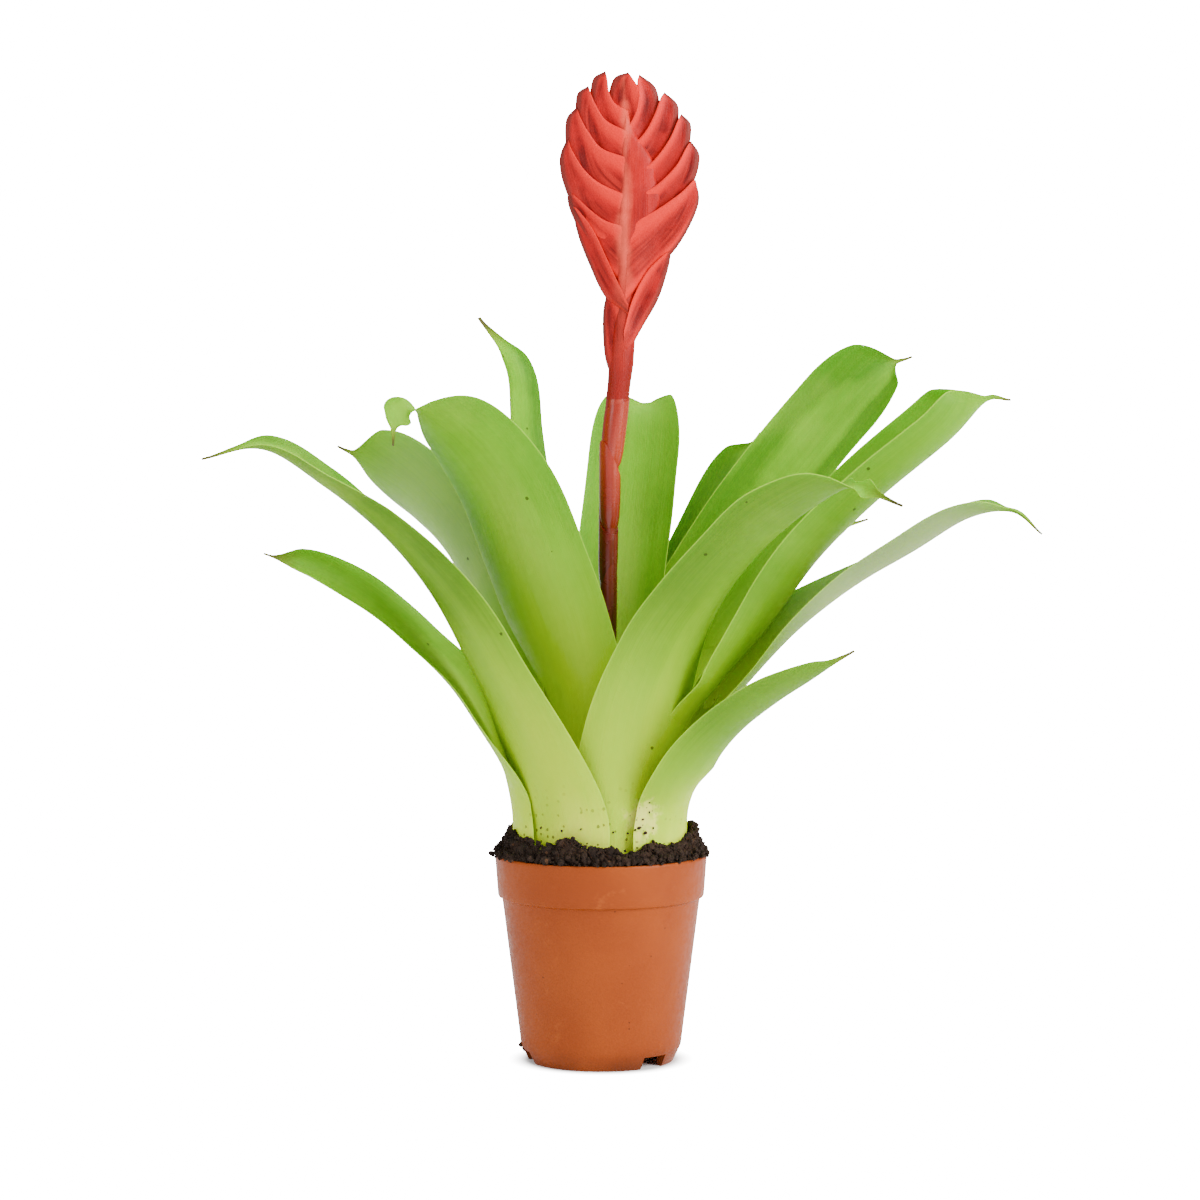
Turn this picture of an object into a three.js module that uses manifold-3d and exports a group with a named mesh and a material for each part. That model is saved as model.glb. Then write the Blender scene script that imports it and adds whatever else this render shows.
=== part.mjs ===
// A potted vriesea: a rosette of strap leaves round a red flower head on a stem, in a small nursery pot.
// Millimetres, +Z up. The ground is z = 0, and the origin is the middle of the whole plant's spread.
import * as THREE from "three";
import { mergeVertices } from "three/addons/utils/BufferGeometryUtils.js";
import Module from "manifold-3d";

const wasm = await Module();
wasm.setup();

// Where the pot's own axis stands, so that the spread of the leaves is centred on the origin.
const potAxis = [-6, -0.7];

// The pot.
const potHeight = 89;
const rimRadius = 45.4;
const bandHeight = 18;
const bandFootRadius = 44.2;
const bodyTopRadius = 42.4;
const bodyFootRadius = 34.4;
const wall = 1.3;
const footRadius = 31.2;
const footWidth = 2.6;
const footChamfer = 7;
const floorHeight = 6;
const floorThickness = 1.4;
const notchWidth = 12.5;
const notchHeight = 5.4;
const notchHeadings = [-46, 74, 194];
const drainRadius = 3.6;
const drainCircle = 17;
const drainCount = 6;
const potSegments = 40;

// The soil.
const gap = 0.35;
const moundTop = 98.5;
const pitRadius = 39.2;
const pitFloor = 87.4;
const stemHoleRadius = 5.4;
const stemHoleFloor = 70;
const soilSegments = 40;
const crumbCount = 26;

// The leaves. Their feet stand on the floor of the pit in the soil.
const leafFoot = pitFloor + gap;
const sheathTop = 22;
const leafStations = 17;
const leafPointsAcross = 7;
const footThickness = 1.3;
const bladeThickness = 1;
const tipThickness = 0.7;

// The flower stem and the sheaths that wrap it.
const stemRadius = 3.3;
const stemFoot = stemHoleFloor + gap;
const stemTop = 284;
const stemSwell = 1.5;
const stemPath = [
  [0, 0, 60], [0.6, 0, 100], [2, 0, 150], [2.8, 0, 203], [3.8, 0, 237], [4.7, 0, 262], [7.5, 0, 288],
  [9.5, 0, 308], [10.6, 0, 328], [11.5, 0, 368], [11, 0, 412], [11, 0, 430],
];
const sheaths = [
  { foot: 158, tip: 213, heading: -60, mouth: 196, wide: 0.8 },
  { foot: 205, tip: 241, heading: 120, mouth: 226, wide: 0.9 },
  { foot: 228, tip: 266, heading: -140, mouth: 250, wide: 1.3 },
  { foot: 254, tip: 283.7, heading: 20, mouth: 281, wide: 1.9 },
];

// The bracts of the flower head, in two ranks, each folded along a keel that is its outer edge. keel holds
// the points of that edge and fold those of its inner edge, both as seen from the front, in x and z from the
// pot's axis; fold ends at the keel's last point, the tip. full is half the thickness at the fold's foot.
const bractStations = 8;
const bracts = [
  {
    side: -1, full: 4.9,
    keel: [[6.4, 289], [2.1, 299], [0.8, 310], [0.8, 320], [1.9, 327]],
    fold: [[11, 305], [10, 315], [8, 322], [5, 326.5]],
  },
  {
    side: 1, full: 5.5,
    keel: [[9.5, 299], [17, 312.7], [24.2, 325.4], [28.4, 338], [30.1, 346.5]],
    fold: [[9.8, 312.7], [13.2, 325.4], [19.1, 336.9], [26, 344]],
  },
  {
    side: -1, full: 5.7,
    keel: [[11.5, 318.7], [1.7, 326.7], [-5.3, 341], [-10, 353.4], [-12.7, 366]],
    fold: [[11.5, 323.7], [4.2, 339], [-3, 354.2], [-8.9, 362.5]],
  },
  {
    side: 1, full: 6.1,
    keel: [[10, 323], [20, 334.5], [33, 348.7], [41.3, 365.6], [40.3, 376.5]],
    fold: [[12, 356.7], [25, 364.3], [33.9, 370.7], [38.6, 375.4]],
  },
  {
    side: -1, full: 5.9,
    keel: [[11.5, 329.7], [-1.3, 341.5], [-10.2, 356.7], [-13.9, 365.6], [-14.4, 372]],
    fold: [[11, 355.9], [1.7, 358.9], [-4.2, 363.1], [-10.2, 368.6]],
  },
  {
    side: 1, full: 5.6,
    keel: [[10.5, 348.7], [25, 355.9], [37.7, 371.9], [41.9, 385.4], [38.1, 393]],
    fold: [[11.5, 367.7], [22.6, 373.2], [31.4, 381.6], [35.9, 389.4]],
  },
  {
    side: -1, full: 5.6,
    keel: [[11.5, 341.5], [-5.5, 352.9], [-14.8, 371.1], [-17.6, 384.6], [-14, 395]],
    fold: [[11, 369.4], [-0.4, 374.5], [-7.2, 380.4], [-12.5, 389]],
  },
  {
    side: 1, full: 5,
    keel: [[10.5, 361.4], [22.9, 367.7], [34.7, 382.5], [38.3, 398.1], [33.9, 404.5]],
    fold: [[11.5, 376.2], [21.5, 383.5], [28.5, 392.5], [32.2, 400.5]],
  },
  {
    side: -1, full: 5.2,
    keel: [[11.5, 352.9], [-4.7, 365.6], [-13.6, 384.6], [-15, 400.6], [-10.2, 407.3]],
    fold: [[11, 385.4], [0.4, 389.2], [-5.5, 396.4], [-8.9, 402.7]],
  },
  {
    side: 1, full: 4.4,
    keel: [[10.5, 371.9], [20.8, 379.5], [30.1, 393], [32.9, 406.5], [26.7, 413.6]],
    fold: [[11.5, 388.8], [18.5, 396], [22.6, 403.5], [25, 410]],
  },
  {
    side: -1, full: 4.7,
    keel: [[12, 365.6], [-1.3, 377], [-9.3, 395.1], [-10.5, 411.1], [-5.2, 416.2]],
    fold: [[11, 396.4], [2.1, 401], [-2.1, 407.3], [-4.4, 412.6]],
  },
  {
    side: 1, full: 3.8,
    keel: [[10.5, 382.5], [18.6, 390.9], [24.3, 403.6], [23.4, 414.6], [15.9, 421.1]],
    fold: [[11.5, 398.1], [14.8, 404.8], [15.9, 411.5], [15.4, 417]],
  },
  {
    side: -1, full: 4.1,
    keel: [[12, 377], [2.1, 386.7], [-4, 403.6], [-3.8, 417.8], [2, 422.6]],
    fold: [[11.5, 404.8], [5.9, 408.2], [3.4, 412.8], [2.7, 418.2]],
  },
  {
    side: -1, full: 3.2,
    keel: [[12.5, 388.8], [6.8, 397.2], [3, 407.8], [5.2, 418.6], [11.6, 421.8]],
    fold: [[14, 402.3], [16.9, 408.2], [16.1, 414.1], [13.6, 418.5]],
  },
];

const pot = { color: 0xbd5f37, roughness: 0.42, metalness: 0 };
const peat = { color: 0x2c211b, roughness: 1, metalness: 0 };
const green = { color: 0x8ab445, roughness: 0.38, metalness: 0 };
const stalk = { color: 0x9c3a2a, roughness: 0.5, metalness: 0 };
const coral = { color: 0xdc4a40, roughness: 0.45, metalness: 0 };

const radians = THREE.MathUtils.degToRad;
const mix = THREE.MathUtils.lerp;
const smooth = THREE.MathUtils.smoothstep;

// A repeatable draw between 0 and 1.
let seed = 11;
function draw() {
  seed = (seed * 1103515245 + 12345) % 2147483648;
  return seed / 2147483648;
}

function meshOf(name, geometry, finish) {
  geometry.computeVertexNormals();
  const mesh = new THREE.Mesh(geometry, new THREE.MeshStandardMaterial(finish));
  mesh.name = name;
  return mesh;
}

// Booleans.
function solidOf(geometry) {
  const bare = geometry.clone();
  bare.deleteAttribute("normal");
  bare.deleteAttribute("uv");
  const merged = mergeVertices(bare, 1e-4);
  return new wasm.Manifold(
    new wasm.Mesh({
      numProp: 3,
      vertProperties: new Float32Array(merged.attributes.position.array),
      triVerts: new Uint32Array(merged.index.array),
    }),
  );
}

function geometryOf(solid) {
  const mesh = solid.getMesh();
  return new THREE.BufferGeometry()
    .setAttribute("position", new THREE.BufferAttribute(new Float32Array(mesh.vertProperties), 3))
    .setIndex(new THREE.BufferAttribute(new Uint32Array(mesh.triVerts), 1));
}

function joined(solids) {
  return solids.reduce((whole, solid) => whole.add(solid));
}

function largestBody(solid) {
  return solid.decompose().reduce((best, body) => (body.volume() > best.volume() ? body : best));
}

// A closed skin through rings of points, each ring running the same way round, with a fan at each end.
function loft(rings) {
  const count = rings[0].length;
  const points = rings.flat();
  const faces = [];
  for (let i = 0; i + 1 < rings.length; i++) {
    for (let j = 0; j < count; j++) {
      const a = i * count + j;
      const b = i * count + ((j + 1) % count);
      faces.push(a, b, b + count, a, b + count, a + count);
    }
  }
  const ends = [
    [rings[0], 0, 1],
    [rings.at(-1), (rings.length - 1) * count, -1],
  ];
  for (const [ring, first, turn] of ends) {
    const middle = ring.reduce((sum, p) => sum.add(p), new THREE.Vector3()).divideScalar(count);
    const hub = points.push(middle) - 1;
    for (let j = 0; j < count; j++) {
      const a = first + j;
      const b = first + ((j + 1) % count);
      faces.push(hub, turn > 0 ? b : a, turn > 0 ? a : b);
    }
  }
  return new THREE.BufferGeometry().setFromPoints(points).setIndex(faces);
}

// A closed blade between two grids of points with the same rows, upper and lower.
function bladeSkin(upper, lower) {
  const rows = upper.length;
  const across = upper[0].length;
  const points = [...upper.flat(), ...lower.flat()];
  const under = rows * across;
  const faces = [];
  const quad = (a, b, c, d) => faces.push(a, b, c, a, c, d);
  for (let i = 0; i + 1 < rows; i++) {
    for (let j = 0; j + 1 < across; j++) {
      const a = i * across + j;
      const [b, c, d] = [a + 1, a + across + 1, a + across];
      faces.push(a, b, c, a, c, d);
      faces.push(under + a, under + c, under + b, under + a, under + d, under + c);
    }
    const left = i * across;
    const right = left + across - 1;
    quad(left, left + across, under + left + across, under + left);
    quad(right, under + right, under + right + across, right + across);
  }
  const last = (rows - 1) * across;
  for (let j = 0; j + 1 < across; j++) {
    quad(j, under + j, under + j + 1, j + 1);
    quad(last + j, last + j + 1, under + last + j + 1, under + last + j);
  }
  return new THREE.BufferGeometry().setFromPoints(points).setIndex(faces);
}

function turned(profile, segments) {
  const points = profile.map(([radius, height]) => new THREE.Vector2(radius, height));
  const shape = new THREE.LatheGeometry(points, segments);
  return shape.rotateX(Math.PI / 2);
}

function makePot() {
  const bandFoot = potHeight - bandHeight;
  const shell = solidOf(
    turned(
      [
        [0, floorHeight],
        [footRadius - footWidth, floorHeight],
        [footRadius - footWidth, 0],
        [footRadius, 0],
        [bodyFootRadius, footChamfer],
        [bodyTopRadius, bandFoot - 0.8],
        [bandFootRadius - 0.5, bandFoot],
        [bandFootRadius, bandFoot + 0.6],
        [rimRadius, potHeight - 1.2],
        [rimRadius - 0.5, potHeight],
        [rimRadius - wall - 0.3, potHeight],
        [bodyTopRadius - wall, bandFoot],
        [bodyFootRadius - wall, footChamfer + 2],
        [bodyFootRadius - wall - 1.5, floorHeight + floorThickness],
        [0, floorHeight + floorThickness],
      ],
      potSegments,
    ),
  );
  const cuts = notchHeadings.map((heading) => {
    const box = new THREE.BoxGeometry(14, notchWidth, notchHeight * 2);
    box.translate(footRadius + 1, 0, 0).rotateZ(radians(heading));
    return solidOf(box);
  });
  for (let i = 0; i < drainCount; i++) {
    const hole = new THREE.CylinderGeometry(drainRadius, drainRadius, 10, 16).rotateX(Math.PI / 2);
    hole.translate(drainCircle, 0, floorHeight).rotateZ((i * 2 * Math.PI) / drainCount);
    cuts.push(solidOf(hole));
  }
  return meshOf("pot", geometryOf(shell.subtract(joined(cuts))), pot);
}

// The height of the loose soil at a place on its top.
function moundHeight(radius, angle) {
  const lumps =
    1.6 * Math.sin(3 * angle + 0.6) + 1.3 * Math.sin(7 * angle + 2.1) + 0.9 * Math.sin(13 * angle + radius);
  const fall = smooth(radius, pitRadius, rimRadius - wall) * (moundTop - potHeight - 1.2);
  return moundTop - fall + lumps * (1 - 0.55 * smooth(radius, pitRadius, rimRadius));
}

function makeSoil() {
  const inside = wall + gap;
  const bandFoot = potHeight - bandHeight;
  const edge = rimRadius - inside - 0.9;
  const rows = [
    [floorHeight + floorThickness + gap, bodyFootRadius - inside - 2.2],
    [footChamfer + 3, bodyFootRadius - inside - 0.5],
    [bandFoot - 0.5, bodyTopRadius - inside - 0.3],
    [potHeight - 1.5, edge],
  ];
  const ring = (place) =>
    Array.from({ length: soilSegments }, (_, i) => place((i / soilSegments) * 2 * Math.PI));
  const round = (radius, height) =>
    ring((a) => new THREE.Vector3(radius * Math.cos(a), radius * Math.sin(a), height));
  const top = (radius, rise) =>
    ring((a) => {
      const r = radius + 0.5 * Math.sin(11 * a + radius);
      return new THREE.Vector3(r * Math.cos(a), r * Math.sin(a), moundHeight(radius, a) + rise);
    });
  const rings = rows.map(([height, radius]) => round(radius, height));
  rings.push(top(edge - 0.8, -0.3), top(edge - 2.2, 0.6), top(pitRadius + 0.9, 0.4));
  rings.push(round(pitRadius, moundTop - 5), round(pitRadius - 0.6, pitFloor));
  rings.push(round(stemHoleRadius, pitFloor), round(stemHoleRadius, stemHoleFloor));
  const body = solidOf(loft(rings));
  const crumbs = Array.from({ length: crumbCount }, (_, i) => {
    const angle = ((i + draw()) / crumbCount) * 2 * Math.PI;
    const size = mix(1.1, 2.4, draw());
    const radius = mix(pitRadius + size + 0.4, edge - 0.4, draw());
    const lump = new THREE.IcosahedronGeometry(size, 0);
    lump.rotateX(draw() * 3).rotateZ(draw() * 3);
    const height = moundHeight(radius, angle) + 0.2;
    return solidOf(lump.translate(radius * Math.cos(angle), radius * Math.sin(angle), height));
  });
  return meshOf("soil", geometryOf(largestBody(joined([body, ...crumbs]))), peat);
}

// One strap leaf. ring is how far its foot stands from the pot's axis and heading where, in degrees from +X.
// spine holds the points of its midline above the sheath. The blade faces the pot's axis, and roll turns it
// from there about its midline, in degrees, at its middle and its tip. taper is where its end begins and
// point how sharply that draws in. neck is a pinch in the end, past which twist turns the blade over.
const leaves = [
  {
    name: "leaf_left_low", heading: 188, ring: 36.4, width: 28, cup: 0.5, point: 0.8, roll: [-26, -34],
    spine: [
      [-43, -10, 128], [-60, -11, 156], [-78, -13, 177], [-98, -17, 196], [-119, -20, 210], [-142, -22, 219],
    ],
  },
  {
    name: "leaf_right_low", heading: 326, ring: 36.4, width: 36, cup: 0.6, point: 0.8, roll: [-6, -12],
    spine: [[39, -33, 127], [54, -38, 144], [70, -43, 157], [87, -47, 168], [105, -50, 180]],
  },
  {
    name: "leaf_left_front", heading: 232, ring: 33.9, width: 42, cup: 0.8, point: 1, roll: [4, -44],
    taper: 0.64,
    spine: [
      [-33, -32, 142], [-50, -34, 173], [-67, -37, 201], [-89, -38, 227], [-116, -37, 249], [-141, -34, 264],
      [-167, -31, 259],
    ],
  },
  {
    name: "leaf_right_long", heading: 352, ring: 33.9, width: 36, cup: 0.8, point: 1.2, roll: [24, 4],
    spine: [
      [44, -12, 137], [59, -15, 162], [79, -24, 185], [102, -38, 207], [127, -52, 224], [156, -66, 239],
      [180, -74, 230],
    ],
  },
  {
    name: "leaf_right_front", heading: 292, ring: 31.4, width: 44, cup: 0.6, roll: [0, 0],
    neck: 0.89, twist: 70,
    spine: [
      [18, -36, 152], [28, -43, 181], [42, -55, 203], [59, -69, 223], [79, -84, 240], [100, -97, 250],
      [120, -112, 243],
    ],
  },
  {
    name: "leaf_right_hidden", heading: 20, ring: 31.4, width: 34, cup: 0.6, roll: [10, 20],
    under: ["leaf_right_long"],
    spine: [[38, 14, 138], [51, 20, 166], [68, 28, 191], [85, 38, 212], [100, 44, 224], [117, 50, 230]],
  },
  {
    name: "leaf_left_back", heading: 160, ring: 31.4, width: 53, cup: 0.6, roll: [50, 58],
    under: ["leaf_left_inner"],
    spine: [[-35, 10, 142], [-53, 18, 183], [-68, 26, 212], [-85, 34, 236], [-100, 40, 253], [-115, 46, 262]],
  },
  {
    name: "leaf_right_far", heading: 340, ring: 29, width: 52, cup: 1.05, roll: [-8, -20],
    taper: 0.86, point: 0.55,
    under: ["leaf_right_front"],
    spine: [
      [31, -13, 142], [46, -12, 166], [68, -14, 191], [92, -18, 218], [118, -22, 244], [146, -25, 268],
      [172, -22, 283],
    ],
  },
  {
    name: "leaf_back_low_middle", heading: 96, ring: 29, width: 36, cup: 0.6, roll: [0, 0],
    under: ["leaf_left_back"],
    spine: [[-3, 40, 140], [-5, 54, 164], [-7, 72, 184], [-9, 92, 197], [-12, 114, 202]],
  },
  {
    name: "leaf_back_low_left", heading: 126, ring: 33.9, width: 34, cup: 0.6, roll: [0, 0],
    spine: [[-25, 36, 130], [-34, 50, 152], [-44, 66, 170], [-54, 80, 180], [-62, 90, 183]],
  },
  {
    name: "leaf_back_low_right", heading: 64, ring: 36.4, width: 32, cup: 0.6, roll: [0, 0],
    spine: [[22, 44, 126], [28, 57, 148], [35, 73, 166], [41, 88, 177], [46, 102, 181]],
  },
  {
    name: "leaf_back_right_large", heading: 34, ring: 24.2, width: 46, cup: 0.45, taper: 0.76, roll: [26, 34],
    spine: [
      [24, 16, 145], [38, 25, 184], [59, 36, 219], [81, 45, 249], [103, 53, 275], [122, 59, 294],
      [137, 62, 301],
    ],
  },
  {
    name: "leaf_back_right_small", heading: 66, ring: 26.6, width: 31, cup: 0.5, roll: [10, 10],
    spine: [[12, 29, 145], [24, 42, 184], [39, 54, 212], [53, 66, 238], [64, 76, 256], [71, 84, 267]],
  },
  {
    name: "leaf_back_middle", heading: 92, ring: 21.8, width: 42, cup: 0.5, roll: [2, 2],
    under: ["leaf_left_inner"],
    spine: [[3, 24, 150], [8, 34, 187], [12, 46, 221], [15, 60, 255], [17, 76, 279], [22, 96, 277]],
  },
  {
    name: "leaf_left_inner", heading: 222, ring: 20, width: 52, cup: 0.5, roll: [34, 30],
    taper: 0.52, point: 1.05, neck: 0.78, twist: 110,
    spine: [
      [-13, -15, 145], [-20, -17, 182], [-31, -19, 214], [-42, -22, 243], [-56, -25, 264], [-76, -29, 276],
      [-85, -31, 275], [-87, -32, 262],
    ],
  },
  {
    name: "leaf_left_tall", heading: 196, ring: 14, width: 27, cup: 0.6, point: 0.9, roll: [-30, -50],
    spine: [[-10, -4, 150], [-18, -4, 195], [-28, -4, 236], [-34, -4, 269], [-37, -3, 297], [-52, 2, 318]],
  },
];

// The closed blade of a leaf, grown by spread on every side.
function blade(leaf, spread) {
  const { heading, ring, cup, roll, spine } = leaf;
  const out = new THREE.Vector3(Math.cos(radians(heading)), Math.sin(radians(heading)), 0);
  const foot = out.clone().multiplyScalar(ring).setZ(leafFoot);
  const waist = out.clone().multiplyScalar(ring + 1).setZ(leafFoot + sheathTop);
  const points = [foot, waist, ...spine.map((p) => new THREE.Vector3(...p))];
  const line = new THREE.CatmullRomCurve3(points, false, "catmullrom", 0.5);
  const upper = [];
  const lower = [];
  for (let i = 0; i < leafStations; i++) {
    const t = Math.pow(i / (leafStations - 1), 0.86);
    const along = line.getTangent(t);
    const middle = line.getPoint(t).addScaledVector(along, (2 * t - 1) * spread);
    const reach = Math.hypot(middle.x, middle.y);
    const level = new THREE.Vector3(-middle.y, middle.x, 0);
    level.addScaledVector(along, -level.dot(along)).normalize();
    const face = level.clone().cross(along).negate();
    const rolled = t < 0.5 ? roll[0] * smooth(t, 0.2, 0.5) : mix(roll[0], roll[1], t * 2 - 1);
    const turn = leaf.neck ? rolled + leaf.twist * smooth(t, leaf.neck - 0.03, leaf.neck + 0.04) : rolled;
    level.applyAxisAngle(along, radians(turn));
    face.applyAxisAngle(along, radians(turn));
    const half = halfWidth(t, leaf) + spread;
    const bend = Math.max(Math.min(half / reach, 1.35), cup * smooth(t, 0, 0.5)) + 0.35 * smooth(t, 0.75, 1);
    const thick = Math.min(
      mix(footThickness, bladeThickness, t / 0.4),
      mix(bladeThickness, tipThickness, (t - 0.4) / 0.6),
    );
    const radius = half / bend;
    const rowUp = [];
    const rowDown = [];
    for (let j = 0; j < leafPointsAcross; j++) {
      const q = (2 * j) / (leafPointsAcross - 1) - 1;
      const angle = q * bend;
      const p = middle.clone();
      p.addScaledVector(level, radius * Math.sin(angle));
      p.addScaledVector(face, radius * (1 - Math.cos(angle)));
      const skin = face.clone().multiplyScalar(Math.cos(angle)).addScaledVector(level, -Math.sin(angle));
      rowUp.push(p.clone().addScaledVector(skin, spread));
      rowDown.push(p.clone().addScaledVector(skin, -thick * (1 - 0.35 * q * q) - spread));
    }
    upper.push(rowUp);
    lower.push(rowDown);
  }
  return bladeSkin(lower, upper);
}

// Half the width of a leaf along it: a broad sheath, an even strap, a rounded end and a fine drip tip.
function halfWidth(t, { width, taper = 0.71, point = 0.66, neck }) {
  const sheath = 1 + 0.22 * (1 - smooth(t, 0.08, 0.36));
  const end = Math.max(0, (t - taper) / (0.95 - taper));
  const round = end < 1 ? Math.pow(1 - Math.pow(end, 2.3), point) : 0;
  const drip = mix(1.6, 0.8, smooth(t, 0.9, 1));
  const pinch = neck ? 1 - 0.84 * Math.exp(-(((t - neck) / 0.035) ** 2)) : 1;
  return Math.max((width / 2) * sheath * round * pinch, drip);
}

// A leaf, its blade cut back where it would pass through the leaves that lie over it.
function makeLeaf(leaf) {
  let body = solidOf(blade(leaf, 0));
  for (const name of leaf.under ?? []) {
    const over = leaves.find((other) => other.name === name);
    body = largestBody(body.subtract(solidOf(blade(over, gap + 0.15))));
  }
  return meshOf(leaf.name, geometryOf(body), green);
}

// The middle line of the flower stem, and the point on it at a height.
const stemLine = new THREE.CatmullRomCurve3(stemPath.map((p) => new THREE.Vector3(...p)));
function stemAt(height) {
  let [low, high] = [0, 1];
  for (let i = 0; i < 24; i++) {
    const t = (low + high) / 2;
    if (stemLine.getPoint(t).z < height) {
      low = t;
    } else {
      high = t;
    }
  }
  return stemLine.getPoint(low);
}

function ringAt(middle, radius, count, rise = () => 0) {
  return Array.from({ length: count }, (_, i) => {
    const a = (i / count) * 2 * Math.PI;
    return new THREE.Vector3(Math.cos(a) * radius, Math.sin(a) * radius, rise(a)).add(middle);
  });
}

// A sheath that wraps the stem, with its mouth cut aslant to a point.
function sheath({ foot, tip, heading, mouth, wide }) {
  const toward = (a) => (1 + Math.cos(a - radians(heading))) / 2;
  const rise = (share) => (a) => (tip - mouth) * share * Math.pow(toward(a), 1.6);
  const lean = new THREE.Vector3(Math.cos(radians(heading)), Math.sin(radians(heading)), 0);
  const at = (height, out) => stemAt(height).addScaledVector(lean, out);
  return loft([
    ringAt(at(foot, 0), stemRadius - 0.2, 12),
    ringAt(at(mix(foot, mouth, 0.25), 0.1), stemRadius + wide * 0.8, 12),
    ringAt(at(mix(foot, mouth, 0.8), 0.3), stemRadius + wide, 12, rise(0.3)),
    ringAt(at(mouth, 0.45), stemRadius + wide * 0.95, 12, rise(1)),
    ringAt(at(mouth, 0.3), stemRadius - 0.6, 12, rise(0.86)),
  ]);
}

function makeStem() {
  const heights = [stemFoot, 84, 110, 150, 190, 215, 240, 262, 274, stemTop];
  const radius = (z) => stemRadius + stemSwell * smooth(z, 255, stemTop);
  const core = loft(heights.map((z) => ringAt(stemAt(z), radius(z), 12)));
  const whole = joined([solidOf(core), ...sheaths.map((place) => solidOf(sheath(place)))]);
  return meshOf("flower_stem", geometryOf(largestBody(whole)), stalk);
}

// One bract of the flower head: a folded scale between its keel and its fold, thickest at the fold.
function bract({ side, full, keel, fold }) {
  const line = (points) =>
    new THREE.CatmullRomCurve3(points.map(([x, z]) => new THREE.Vector3(x, 0, z)), false, "catmullrom", 0.5);
  const outer = line(keel);
  const inner = line([...fold, keel.at(-1)]);
  const rings = [];
  for (let i = 0; i < bractStations; i++) {
    const t = (i / (bractStations - 1)) * 0.98;
    const edge = outer.getPoint(t);
    const across = inner.getPoint(t).sub(edge);
    const thick = Math.min(full * mix(1, 0.3, Math.pow(t, 1.5)), across.length() * 0.45 + 0.6 + 4 * (1 - t));
    const root = 1 - smooth(t, 0, 0.35);
    const at = (share, out) => edge.clone().addScaledVector(across, share).setY(out * thick);
    const ring = [
      at(0, 0),
      at(0.04, -mix(0.3, 0.8, root)),
      at(0.3, -mix(0.55, 0.9, root)),
      at(0.62, -mix(0.6, 0.95, root)),
      at(1, -0.95),
      at(1.02, 0),
      at(1, 0.95),
      at(0.62, mix(0.6, 0.95, root)),
      at(0.3, mix(0.55, 0.9, root)),
      at(0.04, mix(0.3, 0.8, root)),
    ];
    rings.push(side > 0 ? ring.reverse() : ring);
  }
  return loft(rings);
}

function makeSpike() {
  const core = loft([
    ringAt(stemAt(stemTop + gap), stemRadius + stemSwell, 12),
    ringAt(stemAt(298), stemRadius + 2, 12),
    ringAt(stemAt(318), stemRadius + 1.2, 12),
    ringAt(stemAt(340), stemRadius + 0.6, 12),
    ringAt(stemAt(385), stemRadius, 12),
    ringAt(stemAt(404), 1.8, 12),
  ]);
  const whole = joined([solidOf(core), ...bracts.map((place) => solidOf(bract(place)))]);
  return meshOf("flower_spike", geometryOf(largestBody(whole)), coral);
}

const part = new THREE.Group();
const plant = new THREE.Group();
plant.position.set(potAxis[0], potAxis[1], 0);
plant.add(makePot(), makeSoil(), makeStem(), makeSpike(), ...leaves.map(makeLeaf));
part.add(plant);

export default part;
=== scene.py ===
# A potted vriesea: strap leaves in a rosette, a red flower spike, dark soil and a small nursery pot.
import math
import bpy
import numpy as np
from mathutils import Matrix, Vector


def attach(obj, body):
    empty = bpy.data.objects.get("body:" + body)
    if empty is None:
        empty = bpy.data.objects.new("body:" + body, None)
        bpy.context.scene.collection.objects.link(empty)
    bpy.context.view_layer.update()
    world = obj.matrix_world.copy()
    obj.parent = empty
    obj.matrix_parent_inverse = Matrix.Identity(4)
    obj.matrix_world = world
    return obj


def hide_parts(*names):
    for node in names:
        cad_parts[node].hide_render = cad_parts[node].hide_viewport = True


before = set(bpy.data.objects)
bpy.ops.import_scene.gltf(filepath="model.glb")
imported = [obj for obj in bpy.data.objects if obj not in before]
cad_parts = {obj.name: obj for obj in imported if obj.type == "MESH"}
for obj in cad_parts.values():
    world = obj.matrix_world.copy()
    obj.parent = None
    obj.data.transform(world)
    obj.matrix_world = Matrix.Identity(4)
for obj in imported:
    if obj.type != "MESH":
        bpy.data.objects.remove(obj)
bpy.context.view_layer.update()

mm = 0.001
plantAxis = np.array([-6.0, -0.7, 0.0])  # where the pot's own axis stands, in mm
rng = np.random.default_rng(17)
mostTurn = 6.28  # radians that a random turn stays below


# small tools
def smooth(x, low, high):
    s = np.clip((x - low) / (high - low), 0, 1)
    return s * s * (3 - 2 * s)


def mix(a, b, share):
    return a + (b - a) * share


def roundedMax(a, b, power):
    # the larger of two numbers, with a soft change from one to the other
    return (a**power + b**power) ** (1 / power)


def tint(red, green, blue):
    # a screen colour, 0 to 255, as the linear colour that shaders use
    steps = [c / 255 for c in (red, green, blue)]
    return tuple(c / 12.92 if c <= 0.04045 else ((c + 0.055) / 1.055) ** 2.4 for c in steps) + (1.0,)


def unit(v):
    return v / np.linalg.norm(v)


def toward(degrees):
    turn = math.radians(degrees)
    return np.array([math.cos(turn), math.sin(turn), 0])


def curvePoint(points, t):
    # a smooth curve through points that takes as long from each point to the next
    last = len(points) - 1
    step = min(int(t * last), last - 1)
    w = t * last - step
    p1, p2 = points[step], points[step + 1]
    p0 = points[step - 1] if step > 0 else 2 * p1 - p2
    p3 = points[step + 2] if step + 2 <= last else 2 * p2 - p1
    t0, t1 = (p2 - p0) / 2, (p3 - p1) / 2
    return p1 + t0 * w + (-3 * p1 + 3 * p2 - 2 * t0 - t1) * w**2 + (2 * p1 - 2 * p2 + t0 + t1) * w**3


def curveHeading(points, t):
    return unit(curvePoint(points, min(t + 1e-4, 1)) - curvePoint(points, max(t - 1e-4, 0)))


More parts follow.
